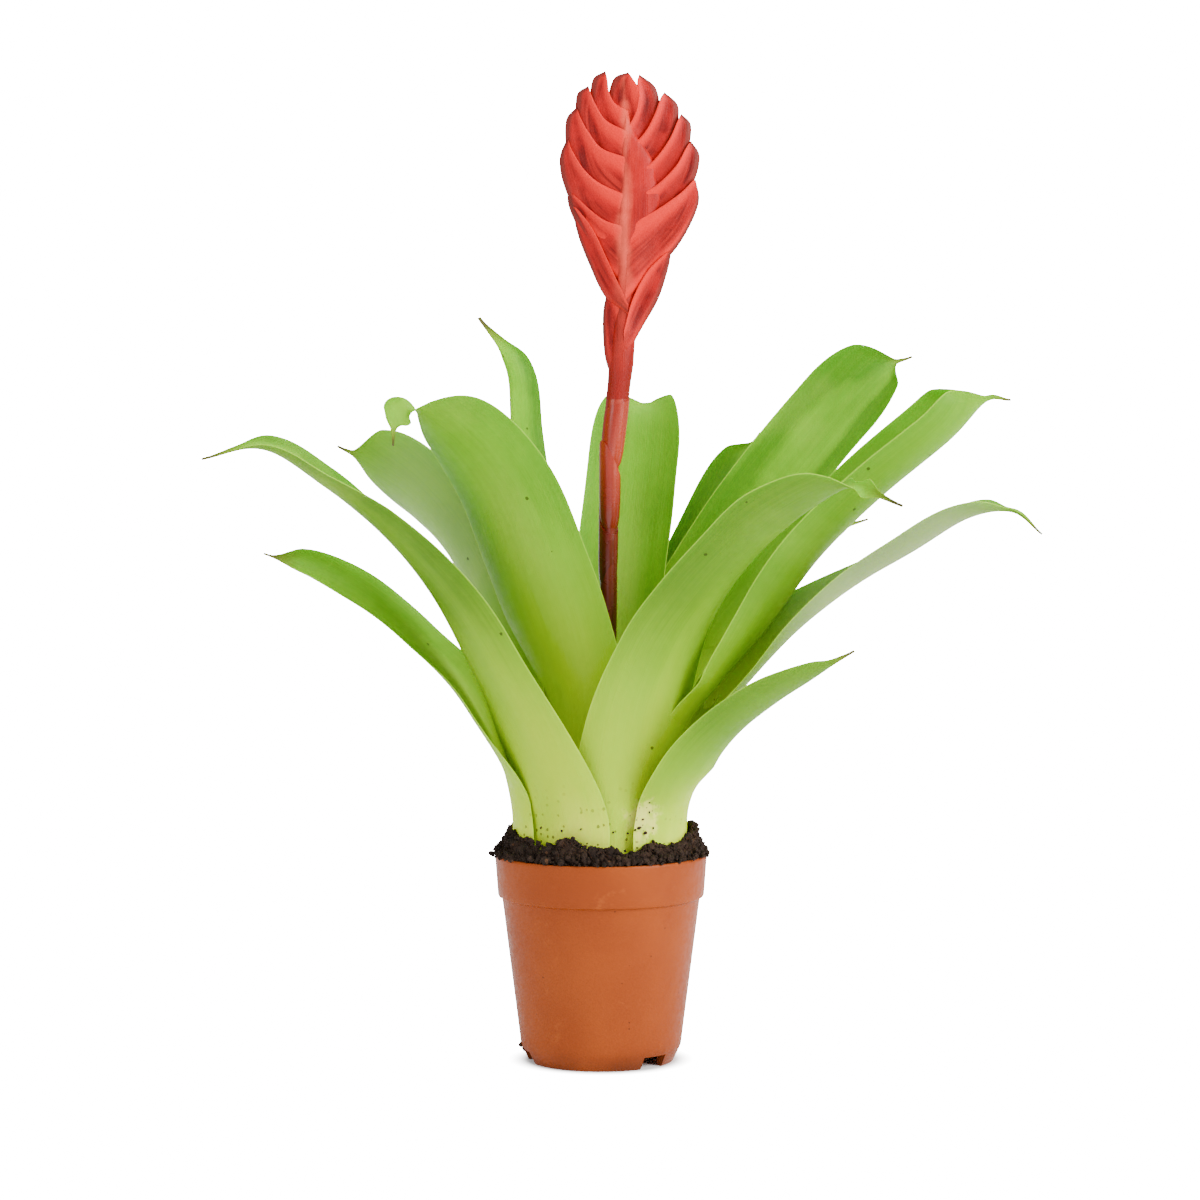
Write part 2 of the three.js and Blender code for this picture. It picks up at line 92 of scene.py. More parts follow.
def ripple(x, y, seed):
    # a gentle, repeatable unevenness between about -1 and 1
    a = np.random.default_rng(seed).uniform(0, mostTurn, 6)
    return (
        np.sin(x + a[0] + 0.7 * np.sin(y + a[1]))
        + np.sin(0.6 * x - 1.3 * y + a[2])
        + 0.6 * np.sin(1.9 * x + 0.8 * y + a[3])
    ) / 2.6


def anglesRound(count):
    return np.arange(count) / count * 2 * math.pi


def circle(angles, radius, height):
    # points round the up axis, where radius and height may differ from angle to angle
    level = np.zeros(len(angles))
    return np.stack([np.cos(angles) * radius, np.sin(angles) * radius, level + height], axis=1)


def ringAt(middle, radius, count, rise=None):
    angles = anglesRound(count)
    return list(circle(angles, radius, rise(angles) if rise else 0) + middle)


def tubeFaces(rows, count, first=0):
    faces = []
    for i in range(rows - 1):
        for j in range(count):
            a, b = first + i * count + j, first + i * count + (j + 1) % count
            faces.append((a, b, b + count, a + count))
    return faces


def loft(rings):
    # a closed skin through rings of points, with a fan at each end
    count = len(rings[0])
    points = [p for ring in rings for p in ring]
    faces = tubeFaces(len(rings), count)
    for ring, first, turn in ((rings[0], 0, 1), (rings[-1], (len(rings) - 1) * count, -1)):
        points.append(np.mean(ring, axis=0))
        hub = len(points) - 1
        for j in range(count):
            a, b = first + j, first + (j + 1) % count
            faces.append((hub, b, a) if turn > 0 else (hub, a, b))
    return points, faces


def addSkin(points, faces, morePoints, moreFaces):
    start = len(points)
    faces.extend([tuple(i + start for i in face) for face in moreFaces])
    points.extend(morePoints)


def meshPiece(name, points, faces, sharpAngle, attributes=None):
    mesh = bpy.data.meshes.new(name)
    mesh.from_pydata((np.asarray(points) + plantAxis) * mm, [], faces)
    for label, values in (attributes or {}).items():
        layer = mesh.attributes.new(label, "FLOAT_VECTOR", "POINT")
        layer.data.foreach_set("vector", np.asarray(values, dtype=np.float32).ravel())
    mesh.validate()
    mesh.shade_smooth()
    mesh.set_sharp_from_angle(angle=math.radians(sharpAngle))
    piece = bpy.data.objects.new(name, mesh)
    bpy.context.scene.collection.objects.link(piece)
    return piece


def place(piece, slotName, material, *nodes):
    piece.data.materials.clear()
    piece.data.materials.append(material)
    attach(piece, "root")
    if nodes:
        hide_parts(*nodes)


# shader tools
def addNode(tree, kind, inputs=None, **settings):
    # an input is either another node's socket or a plain value
    node = tree.nodes.new(kind)
    for key, value in settings.items():
        setattr(node, key, value)
    for key, value in (inputs or {}).items():
        if isinstance(value, bpy.types.NodeSocket):
            tree.links.new(value, node.inputs[key])
        else:
            node.inputs[key].default_value = value
    return node


def maths(tree, operation, a, b=0.0, clamp=False):
    return addNode(tree, "ShaderNodeMath", {0: a, 1: b}, operation=operation, use_clamp=clamp).outputs[0]


def plus(tree, a, b):
    return maths(tree, "ADD", a, b)


def times(tree, a, b, clamp=False):
    return maths(tree, "MULTIPLY", a, b, clamp)


def distance(tree, a, b):
    return addNode(tree, "ShaderNodeVectorMath", {0: a, 1: b}, operation="DISTANCE").outputs["Value"]


def ranged(tree, value, fromMin, fromMax, toMin=0.0, toMax=1.0):
    inputs = {"Value": value, "From Min": fromMin, "From Max": fromMax, "To Min": toMin, "To Max": toMax}
    return addNode(tree, "ShaderNodeMapRange", inputs, interpolation_type="SMOOTHSTEP").outputs["Result"]


def blended(tree, share, a, b):
    return addNode(tree, "ShaderNodeMix", {0: share, 6: a, 7: b}, data_type="RGBA").outputs[2]


def layered(tree, look, colour, layers):
    # lays each named colour of a look over the last one, as far as its mask says
    for mask, name in layers:
        colour = blended(tree, mask, colour, look[name])
    return colour


def ramp(tree, value, stops):
    node = addNode(tree, "ShaderNodeValToRGB", {"Fac": value})
    band = node.color_ramp
    while len(band.elements) < len(stops):
        band.elements.new(1.0)
    for element, (position, colour) in zip(band.elements, stops):
        element.position = position
        element.color = colour
    return node.outputs["Color"]


def separate(tree, vector):
    return addNode(tree, "ShaderNodeSeparateXYZ", {0: vector}).outputs


def noise(tree, spot, scale, detail, roughness=0.5, distortion=0.0):
    inputs = {"Vector": spot, "Scale": scale, "Detail": detail, "Roughness": roughness}
    return addNode(tree, "ShaderNodeTexNoise", {**inputs, "Distortion": distortion}).outputs


def newGroup(name, inputs, outputs):
    # inputs are names with first values, where None stands for a place, and outputs are names of numbers
    tree = bpy.data.node_groups.new(name, "ShaderNodeTree")
    for label, value in inputs.items():
        kind = "NodeSocketVector" if value is None else "NodeSocketFloat"
        socket = tree.interface.new_socket(label, in_out="INPUT", socket_type=kind)
        if value is not None:
            socket.default_value = value
    for label in outputs:
        tree.interface.new_socket(label, in_out="OUTPUT", socket_type="NodeSocketFloat")
    return tree, addNode(tree, "NodeGroupInput").outputs, addNode(tree, "NodeGroupOutput").inputs


def makeVeins():
    # fine lines that run the length of a leaf, bract or stalk
    inputs = {"Place": None, "Lines per mm": 1.0, "Drift": 0.02}
    tree, given, result = newGroup("veins", inputs, ["Lines", "Streaks"])
    here = separate(tree, given["Place"])
    across = times(tree, here["X"], given["Lines per mm"])
    along = times(tree, here["Y"], given["Drift"])
    spot = addNode(tree, "ShaderNodeCombineXYZ", {0: across, 1: along, 2: here["Z"]}).outputs[0]
    fine = noise(tree, spot, 1.6, 3.0, 0.6)["Fac"]
    broad = noise(tree, spot, 0.32, 2.0)["Fac"]
    tree.links.new(ranged(tree, fine, 0.3, 0.7), result["Lines"])
    tree.links.new(ranged(tree, broad, 0.3, 0.7), result["Streaks"])
    return tree


def makeMottle():
    # soft cloudy patches with a finer grain over them
    tree, given, result = newGroup("mottle", {"Place": None, "Scale": 40.0}, ["Patches", "Grain"])
    wide = noise(tree, given["Place"], given["Scale"], 3.0, distortion=0.4)["Fac"]
    fine = noise(tree, given["Place"], times(tree, given["Scale"], 14.0), 2.0)["Fac"]
    tree.links.new(ranged(tree, wide, 0.28, 0.72), result["Patches"])
    tree.links.new(ranged(tree, fine, 0.3, 0.7), result["Grain"])
    return tree


def makeSpecks():
    # small scattered spots: 1 in a spot, 0 elsewhere
    inputs = {"Place": None, "Scale": 200.0, "Size": 0.12, "Share": 0.1}
    tree, given, result = newGroup("specks", inputs, ["Mask"])
    bend = noise(tree, given["Place"], 900.0, 1.0)["Color"]
    shifted = addNode(tree, "ShaderNodeVectorMath", {0: bend, "Scale": 0.0006}, operation="SCALE").outputs[0]
    spot = addNode(tree, "ShaderNodeVectorMath", {0: given["Place"], 1: shifted}, operation="ADD").outputs[0]
    cells = addNode(tree, "ShaderNodeTexVoronoi", {"Vector": spot, "Scale": given["Scale"]}).outputs
    near = maths(tree, "LESS_THAN", cells["Distance"], given["Size"])
    shade = addNode(tree, "ShaderNodeSeparateColor", {0: cells["Color"]}).outputs[0]
    chosen = maths(tree, "LESS_THAN", shade, given["Share"])
    tree.links.new(times(tree, near, chosen), result["Mask"])
    return tree


veins = makeVeins()
mottle = makeMottle()
specks = makeSpecks()


def effect(tree, group, spot, values):
    return addNode(tree, "ShaderNodeGroup", {"Place": spot, **values}, node_tree=group).outputs


def newMaterial(name, fixed):
    # fixed holds the shader's values that are the same all over the surface
    material = bpy.data.materials.new(name)
    material.use_nodes = True
    tree = material.node_tree
    shader = tree.nodes["Principled BSDF"]
    for key, value in fixed.items():
        shader.inputs[key].default_value = value
    return material, tree, shader


def attribute(tree, label):
    return addNode(tree, "ShaderNodeAttribute", attribute_name=label).outputs["Vector"]


def objectPlace(tree):
    return addNode(tree, "ShaderNodeTexCoord").outputs["Object"]


def dressShader(tree, shader, colour, rough, height, strength, depth=0.0003):
    # joins colour, roughness and a bump, depth in metres, to the shader
    tree.links.new(colour, shader.inputs["Base Color"])
    tree.links.new(rough, shader.inputs["Roughness"])
    bump = addNode(tree, "ShaderNodeBump", {"Height": height, "Strength": strength, "Distance": depth})
    tree.links.new(bump.outputs["Normal"], shader.inputs["Normal"])


print("tools ready")


# leaves: every blade follows its own midline, and cup, roll, taper and neck shape it along the way
leafLook = {
    # below 1, the last two crowd the rows towards the tip and the points towards the margins
    "rows": 118, "across": 23, "towardTip": 0.9, "towardMargin": 0.8,
    "sharpAngle": 50, "firstSeed": 30,
    "footHeight": 87.75, "sheathTop": 22, "sheathFlare": 0.22, "mostWrap": 1.35, "tipBend": 0.35,
    "footThickness": 1.3, "bladeThickness": 1.0, "tipThickness": 0.7, "rimThinning": 0.66,
    "waveHeight": 0.55, "waveLength": 11, "bumpHeight": 0.25, "bumpLength": 19, "wavyHalf": 12,
    # Emission Strength sets how strongly the painted glow of the blades shows
    "shader": {"Specular IOR Level": 0.07, "Emission Strength": 0.32, "Subsurface Weight": 0.4,
               "Subsurface Scale": 0.0016, "Subsurface Radius": (0.5, 1.0, 0.08)},
    "fineVeins": {"Lines per mm": 1.5, "Drift": 0.015}, "broadVeins": {"Lines per mm": 0.14, "Drift": 0.01},
    "clouds": {"Scale": 20.0}, "wideClouds": {"Scale": 11.0},
    "freckles": {"Scale": 190.0, "Size": 0.15, "Share": 0.03},
    "stains": {"Scale": 420.0, "Size": 0.3, "Share": 0.16},
    "grit": {"Scale": 760.0, "Size": 0.34, "Share": 0.2},
    "upperGreen": tint(106, 164, 12), "upperDeep": tint(60, 116, 5), "lowerGreen": tint(84, 124, 16),
    "lowerDeep": tint(60, 100, 8), "middlePale": tint(120, 160, 12), "sheathPale": tint(156, 182, 18),
    "footWhite": tint(190, 204, 52), "footOlive": tint(150, 156, 70), "greyGreen": tint(134, 148, 104),
    # the first colour on the next line is pale for the veins and for the painted highlight along the margins
    "veinPaleAndRimHighlight": tint(170, 204, 60), "tipYellow": tint(96, 106, 26), "dryTip": tint(72, 61, 37),
    # the pale green at the end of the next line is a painted sheen
    "speck": tint(34, 30, 12), "torn": tint(206, 204, 100), "paintedSheen": tint(158, 186, 62),
    "tornAt": (0.0125, -0.0372, 0.1065), "tornFrom": 0.0075, "tornTo": 0.0135,  # metres
    # colour, the shares of the length between which it fades or comes, and how strong it is
    "footBands": [("middlePale", 0.26, 0.56, 0.9), ("sheathPale", 0.12, 0.4, 0.95),
                  ("footWhite", 0.02, 0.15, 0.9), ("footOlive", 0.0, 0.09, 0.45)],
    "tipBands": [("tipYellow", 0.9, 0.96, 0.7), ("dryTip", 0.945, 0.985, 0.85)],
}

# heading and ring place the foot, and spine holds the midline's points above the sheath. roll is the turn
# about the midline in degrees. shoulders, pinch and bulge widen or narrow a half of the blade. neck is a
# narrow place with lobe, twist and flap beyond it. tone darkens, fresh gives the lower face the green of the
# upper one, glow is a painted glow from inside the lower blade that lifts its shade and also brings out a
# painted sheen along its middle, and grey dulls it.
leaves = [
    dict(name="leaf_left_low", heading=188, ring=36.4, width=30, cup=0.5, roll=(-26, -34), tone=0.35,
         point=0.8, close=0.99, spur=0.8, shoulders=(0.1, 0.6), glow=0.8,
         spine=[(-42, -10, 129.5), (-58, -11, 158.5), (-76, -13, 179.5), (-97, -17, 197.5),
                (-119.5, -20, 210.5), (-142, -22, 219)]),
    dict(name="leaf_right_low", heading=326, ring=36.4, width=36, cup=0.6, roll=(-6, -12), tone=0.2,
         point=1.0, taper=0.58, spur=1.5, shoulders=(0.05, 0.0),
         spine=[(37.5, -33, 127), (53, -38, 145), (70, -43, 158.5), (87, -47, 169), (105, -50, 180)]),
    dict(name="leaf_left_front", heading=232, ring=33.9, width=42, cup=0.8, roll=(4, -32), tone=1.2,
         rollMiddle=-6, point=1.0, taper=0.5,
         spine=[(-33, -32, 142), (-50, -34, 173), (-67, -37, 201), (-89, -38, 227), (-116, -37, 249),
                (-141, -34, 264), (-167, -31, 259)]),
    dict(name="leaf_right_long", heading=352, ring=33.9, width=36, cup=0.8, roll=(24, 0), tone=0.2,
         rollMiddle=2, point=1.2, close=0.9, shoulders=(0.45, 0.0), glow=1.0, grey=0.6,
         spine=[(44, -12, 137), (59, -15, 162), (79, -24, 185), (103, -38, 205), (128, -52, 221.5),
                (150, -64, 236), (168, -70, 239), (180, -74, 229.8)]),
    dict(name="leaf_right_front", heading=292, ring=31.4, width=44, cup=0.6, roll=(0, 0), tone=0.2,
         shoulders=(0.2, 0.0), bulge=(0.16, 0.74, 0.1), neck=0.89, lobe=1.6, twist=70,
         spine=[(18, -36, 152), (28, -43, 181), (42, -55, 203), (59, -69, 223), (79, -84, 240),
                (100, -97, 250), (120, -112, 243)]),
    dict(name="leaf_right_hidden", heading=20, ring=31.4, width=34, cup=0.6, roll=(10, 20), tone=0.5,
         glow=1.0,
         spine=[(38, 14, 138), (51, 20, 166), (68, 28, 191), (85, 38, 212), (100, 44, 224),
                (117, 50, 230)]),
    dict(name="leaf_left_back", heading=160, ring=31.4, width=49, cup=0.6, roll=(50, 58), tone=0.15,
         fresh=0.55, grey=0.3,
         spine=[(-35, 10, 142), (-48, 18, 186), (-61, 26, 217.5), (-80, 34, 240.5), (-99.5, 40, 254),
                (-115, 46, 262)]),
    dict(name="leaf_right_far", heading=340, ring=29, width=58, cup=1.5, roll=(10, 14), tone=0.1,
         point=0.56, taper=0.78, close=0.905, cupFrom=0.16, shoulders=(0.3, -0.1), pinch=(0.45, 0.2, 0.37),
         glow=0.5, fresh=0.4,
         spine=[(33, -13, 141), (50, -12, 164), (71, -14, 189), (92, -18, 218), (118, -22, 244),
                (146, -25, 267.5), (161, -24, 283), (172, -22, 283.6)]),
    dict(name="leaf_back_low_middle", heading=96, ring=29, width=36, cup=0.6, roll=(0, 0), tone=0.4,
         spine=[(-3, 40, 140), (-5, 54, 164), (-7, 72, 184), (-9, 92, 197), (-12, 114, 202)]),
    dict(name="leaf_back_low_left", heading=126, ring=33.9, width=40, cup=0.6, roll=(0, 0), tone=0.6,
         spine=[(-25, 36, 130), (-34, 50, 152), (-44, 66, 170), (-54, 80, 180), (-62, 90, 183)]),
    dict(name="leaf_back_low_right", heading=64, ring=36.4, width=32, cup=0.6, roll=(0, 0), tone=0.45,
         spine=[(22, 44, 126), (28, 57, 148), (35, 73, 166), (41, 88, 177), (46, 102, 181)]),
    dict(name="leaf_back_right_large", heading=34, ring=24.2, width=46, cup=0.45, roll=(26, 34), tone=1.3,
         taper=0.76,
         spine=[(24, 16, 145), (38, 25, 184), (59, 36, 219), (81, 45, 249), (103, 53, 275),
                (122, 59, 294.5), (137, 62, 301)]),
    dict(name="leaf_back_right_small", heading=66, ring=26.6, width=31, cup=0.5, roll=(10, 10), tone=0.6,
         spine=[(12, 29, 145), (26, 42, 184), (42, 54, 212), (55.5, 66, 238), (65, 76, 256),
                (71, 84, 267)]),
    dict(name="leaf_back_middle", heading=92, ring=21.8, width=42, cup=0.5, roll=(2, 2), tone=0.4,
         glow=0.3,
         spine=[(3, 24, 150), (7, 34, 187), (11, 46, 221), (15, 60, 255), (17.5, 76, 279), (22, 96, 277)]),
    dict(name="leaf_left_inner", heading=222, ring=20, width=52, cup=0.5, roll=(34, 30), tone=0.3,
         point=0.75, taper=0.5, neck=0.785, neckLong=0.05, neckDeep=0.89, lobe=0.82, twist=-124,
         flap=(0.6, 1.05), glow=0.6, fresh=0.85,
         spine=[(-13, -15, 145), (-20, -17, 182), (-31, -19, 214), (-42.5, -22, 243.5), (-58, -25, 265.5),
                (-77.4, -29, 279.5), (-85.5, -31, 275), (-86.8, -32, 264.4)]),
    dict(name="leaf_left_tall", heading=196, ring=14, width=24.5, cup=0.6, roll=(-30, -50), tone=0.6,
         point=0.9, spur=1.7, fresh=0.2,
         spine=[(-10, -4, 150), (-18, -4, 195), (-28, -4, 236), (-34, -4, 269), (-37, -3, 297),
                (-52, 2, 318)]),
]


def halfWidth(t, leaf):
    # a broad sheath, an even strap, a rounded end and a fine drip tip
    taper, neck, close = leaf.get("taper", 0.71), leaf.get("neck"), leaf.get("close", 0.95)
    sheath = 1 + leafLook["sheathFlare"] * (1 - smooth(t, 0.08, 0.36))
    end = max(0.0, (t - taper) / (close - taper))
    rounded = (1 - end**2.3) ** leaf.get("point", 0.66) if end < 1 else 0.0
    if neck:
        narrow = math.exp(-(((t - neck) / leaf.get("neckLong", 0.035)) ** 2))
        rounded *= 1 - leaf.get("neckDeep", 0.84) * narrow
        rounded *= mix(1, leaf.get("lobe", 1), smooth(t, neck, neck + 0.03))
    tail = 1 - smooth(t, close - 0.08, close + 0.02)
    drip = leaf.get("spur", 1) * mix(2.4, 0.45, smooth(t, 0.88, 1))
    return roundedMax(leaf["width"] / 2 * sheath * rounded * tail, drip, 3)


def leafTurn(t, leaf):
    # degrees that the blade is rolled about its own midline
    first, last = leaf["roll"]
    middle = leaf.get("rollMiddle", mix(first, last, 0.3))
    if t < 0.4:
        turn = first * smooth(t, 0.18, 0.4)
    elif t < 0.65:
        turn = mix(first, middle, smooth(t, 0.4, 0.65))
    else:
        turn = mix(middle, last, (t - 0.65) / 0.35)
    if "neck" in leaf:
        turn += leaf["twist"] * smooth(t, leaf["neck"] - 0.03, leaf["neck"] + 0.04)
    return turn


def sideShares(t, leaf):
    # how much wider the two halves of a blade are than even, where one reaches further round
    broad = 1 - smooth(t, 0.3, 0.58)
    plusSide, minusSide = (1 + more * broad for more in leaf.get("shoulders", (0, 0)))
    if "pinch" in leaf:
        less, low, high = leaf["pinch"]
        minusSide *= 1 - less * (1 - smooth(t, low, high))
    if "bulge" in leaf:
        more, middle, spread = leaf["bulge"]
        minusSide += more * math.exp(-(((t - middle) / spread) ** 2))
    if "flap" in leaf:
        past = smooth(t, leaf["neck"], leaf["neck"] + 0.03)
        plusSide, minusSide = mix(plusSide, leaf["flap"][0], past), mix(minusSide, leaf["flap"][1], past)
    return plusSide, minusSide


def bladeFaces(rows, count):
    # an upper and a lower sheet of points, closed along both margins, the foot and the tip
    under, last = rows * count, (rows - 1) * count
    faces = []
    for i in range(rows - 1):
        for j in range(count - 1):
            a = i * count + j
            b, c, d = a + 1, a + count + 1, a + count
            faces.append((a, b, c, d))
            faces.append((under + d, under + c, under + b, under + a))
        left, right = i * count, i * count + count - 1
        faces.append((left, left + count, under + left + count, under + left))
        faces.append((under + right, under + right + count, right + count, right))
    for j in range(count - 1):
        faces.append((under + j, under + j + 1, j + 1, j))
        faces.append((under + last + j + 1, under + last + j, last + j, last + j + 1))
    return faces


def leafPiece(leaf, seed):
    look = leafLook
    out = toward(leaf["heading"])
    foot = out * leaf["ring"] + [0, 0, look["footHeight"]]
    waist = out * (leaf["ring"] + 1) + [0, 0, look["footHeight"] + look["sheathTop"]]
    line = [foot, waist] + [np.array(p, float) for p in leaf["spine"]]
    rows, count = look["rows"], look["across"]
    shares = np.linspace(-1, 1, count)
    shares = np.sign(shares) * np.abs(shares) ** look["towardMargin"]
    upper, lower, placeMm, placeShare = [], [], [], []
    travelled, previous = 0.0, foot
    for i in range(rows):
        t = (i / (rows - 1)) ** look["towardTip"]
        middle, along = curvePoint(line, t), curveHeading(line, t)
        travelled += np.linalg.norm(middle - previous)
        previous = middle
        level = np.array([-middle[1], middle[0], 0.0])
        level = unit(level - along * level.dot(along))
        face = np.cross(along, level)
        turn = math.radians(leafTurn(t, leaf))
        c, s = math.cos(turn), math.sin(turn)
        level, face = level * c + face * s, face * c - level * s
        half = halfWidth(t, leaf)
        # the foot wraps round the rosette, and further up the blade has a cup of its own
        wrap = min(half / math.hypot(middle[0], middle[1]), look["mostWrap"])
        cup = leaf["cup"] * smooth(t, leaf.get("cupFrom", 0), 0.5)
        bend = roundedMax(wrap, cup, 8) + look["tipBend"] * smooth(t, 0.75, 1)
        radius = half / bend
        thick = min(mix(look["footThickness"], look["bladeThickness"], t / 0.4),
                    mix(look["bladeThickness"], look["tipThickness"], (t - 0.4) / 0.6), half * 1.6)
        # a blade is uneven only where it stands free of the others and is broad enough
        free = smooth(t, 0.3, 0.6) * (1 - smooth(t, 0.86, 0.97)) * min(1.0, half / look["wavyHalf"])
        plusSide, minusSide = sideShares(t, leaf)
        for q in shares:
            angle = q * bend * (plusSide if q > 0 else minusSide)
            skin = face * math.cos(angle) - level * math.sin(angle)
            p = middle + level * radius * math.sin(angle) + face * radius * (1 - math.cos(angle))
            wave = look["waveHeight"] * free * q**4 * ripple(travelled / look["waveLength"], q, seed)
            hump = look["bumpHeight"] * free * ripple(travelled / look["bumpLength"], q * 3.1, seed + 1)
            p = p + skin * (wave + hump)
            upper.append(p)
            lower.append(p - skin * thick * (1 - look["rimThinning"] * abs(q) ** 3))
            placeMm.append((q * half, travelled, seed * 7.3))
            placeShare.append((q, t, leaf["tone"]))
    # what the material reads: mm across and along, shares across and along with the tone, and the tints
    glow, grey = leaf.get("glow", 0.1), leaf.get("grey", 0)
    sides = [(1.0, glow, grey)] * len(upper) + [(leaf.get("fresh", 0), glow, grey)] * len(lower)
    data = {"leafMm": placeMm * 2, "leafShare": placeShare * 2, "leafSide": sides}
    name = leaf["name"].replace("leaf_", "blade_")
    return meshPiece(name, upper + lower, bladeFaces(rows, count), look["sharpAngle"], data)


def leafMaterial():
    look = leafLook
    material, tree, shader = newMaterial("freshLeaf", look["shader"])
    here, bladeMm = objectPlace(tree), attribute(tree, "leafMm")
    fine = effect(tree, veins, bladeMm, look["fineVeins"])
    broad = effect(tree, veins, bladeMm, look["broadVeins"])
    clouds = effect(tree, mottle, here, look["clouds"])
    wide = effect(tree, mottle, here, look["wideClouds"])
    freckles = effect(tree, specks, here, look["freckles"])
    stains = effect(tree, specks, here, look["stains"])
    grit = effect(tree, specks, here, look["grit"])
    shares = separate(tree, attribute(tree, "leafShare"))
    across, along, tone = shares["X"], shares["Y"], shares["Z"]
    sides = separate(tree, attribute(tree, "leafSide"))
    fresh, glow, grey = sides["X"], sides["Y"], sides["Z"]
    off = maths(tree, "ABSOLUTE", across)
    # green that deepens in broad streaks and patches, which stand partly for its own tone and partly for
    # painted fold shade, and deepens towards the margins as painted shade of the cupped blade
    uneven = plus(tree, broad["Streaks"], clouds["Patches"])
    uneven = plus(tree, uneven, ranged(tree, off, 0.25, 0.95, -0.15, 0.5))
    deep = times(tree, ranged(tree, uneven, 0.2, 2.2), plus(tree, tone, 0.4), clamp=True)
    upper = blended(tree, deep, look["upperGreen"], look["upperDeep"])
    lower = blended(tree, deep, look["lowerGreen"], look["lowerDeep"])
    # masks of the layers above it
    # painted sheen along the middle of the lower blade, only on leaves that glow
    middle = times(tree, ranged(tree, off, 0.6, 0.1), ranged(tree, along, 0.72, 0.45, 0.0, 0.42))
    middle = times(tree, middle, ranged(tree, glow, 0.1, 0.3))
    low = plus(tree, along, maths(tree, "SUBTRACT", times(tree, broad["Streaks"], 0.09), 0.045))
    greyed = ranged(tree, maths(tree, "ABSOLUTE", maths(tree, "SUBTRACT", along, 0.64)), 0.28, 0.08)
    frayed = plus(tree, distance(tree, here, look["tornAt"]), times(tree, clouds["Grain"], 0.005))
    frayed = ranged(tree, frayed, look["tornTo"], look["tornFrom"], 0.0, 0.7)
    blade = layered(tree, look, blended(tree, fresh, lower, upper), [
        # painted sheen in broad soft patches, and along the middle of the blade
        (ranged(tree, wide["Patches"], 0.62, 1.0, 0.0, 0.16), "paintedSheen"),
        (middle, "paintedSheen"),
        (times(tree, fine["Streaks"], 0.14), "lowerGreen"),
        *[(ranged(tree, low, full, gone, most, 0.0), name) for name, full, gone, most in look["footBands"]],
        (times(tree, grey, greyed), "greyGreen"),
        # pale lines along the veins, and a painted highlight along the margins
        (times(tree, fine["Lines"], 0.07), "veinPaleAndRimHighlight"),
        (ranged(tree, off, 0.975, 0.995, 0.0, 0.4), "veinPaleAndRimHighlight"),
        (times(tree, freckles["Mask"], 0.7), "speck"),
        (times(tree, stains["Mask"], ranged(tree, along, 0.04, 0.2, 0.8, 0.0)), "speck"),
        (frayed, "torn"),
        (times(tree, frayed, grit["Mask"]), "speck"),
        *[(ranged(tree, along, none, full, 0.0, most), name) for name, none, full, most in look["tipBands"]],
    ])
    # painted glow: the lower blades glow from inside with their own colour, lifting the shade in the heart of
    # the rosette in place of light that comes through them
    paintedGlow = times(tree, glow, ranged(tree, along, 0.2, 0.6, 1.0, 0.0))
    paintedGlow = blended(tree, paintedGlow, (0.0, 0.0, 0.0, 1.0), blade)
    tree.links.new(paintedGlow, shader.inputs["Emission Color"])
    rough = plus(tree, times(tree, clouds["Grain"], 0.1), ranged(tree, along, 0.9, 0.97, 0.42, 0.6))
    dressShader(tree, shader, blade, rough, fine["Lines"], 0.16)
    return material


freshLeaf = leafMaterial()
for number, leaf in enumerate(leaves):
    place(leafPiece(leaf, leafLook["firstSeed"] + number), "leaf", freshLeaf, leaf["name"])
print("leaves made:", len(leaves))


# flower stem, with the sheaths that clasp it
stemLook = {
    "radius": 3.3, "swell": 1.5, "swellFrom": 255, "foot": 70.35, "top": 284.0, "rows": 110, "sides": 32,
    "sharpAngle": 40,
    "path": [(0, 0, 60), (0.6, 0, 100), (2, 0, 150), (2.8, 0, 203), (3.8, 0, 237), (4.7, 0, 262),
             (7.5, 0, 288), (9.5, 0, 308), (10.6, 0, 328), (11.5, 0, 368), (11, 0, 412), (11, 0, 430)],
    # foot, tip, heading, mouth, how far it stands off
    "sheaths": [(158, 213, -60, 196, 0.8), (205, 241, 120, 226, 0.9), (228, 266, -140, 250, 1.3),
                (254, 283.7, 20, 281, 1.9)],
    # share of the way to the mouth, share of the stand-off, lean, rise of the slanted mouth
    "sheathSteps": [(0, -0.2, 0, 0), (0.08, 0.4, 0.05, 0), (0.25, 0.8, 0.1, 0), (0.5, 0.95, 0.2, 0.08),
                    (0.8, 1.0, 0.3, 0.3), (0.93, 0.98, 0.4, 0.75), (1, 0.95, 0.45, 1)],
    "shader": {"Specular IOR Level": 0.4},
    "veins": {"Lines per mm": 0.9, "Drift": 0.03}, "clouds": {"Scale": 90.0},
    # pale serves the sheaths' own paleness and the streaks, which up the stem are partly a painted highlight
    "low": tint(46, 9, 2), "middle": tint(70, 9, 3), "high": tint(112, 9, 6), "pale": tint(200, 72, 46),
    "green": tint(70, 60, 18),
}
stemPoints = [np.array(p, float) for p in stemLook["path"]]


def stemAt(height):
    # the middle of the stem at a height, found by halving
    low, high = 0.0, 1.0
    for _ in range(26):
        t = (low + high) / 2
        if curvePoint(stemPoints, t)[2] < height:
            low = t
        else:
            high = t
    return curvePoint(stemPoints, low)


def stemRadius(height):
    look = stemLook
    return look["radius"] + look["swell"] * smooth(height, look["swellFrom"], look["top"])


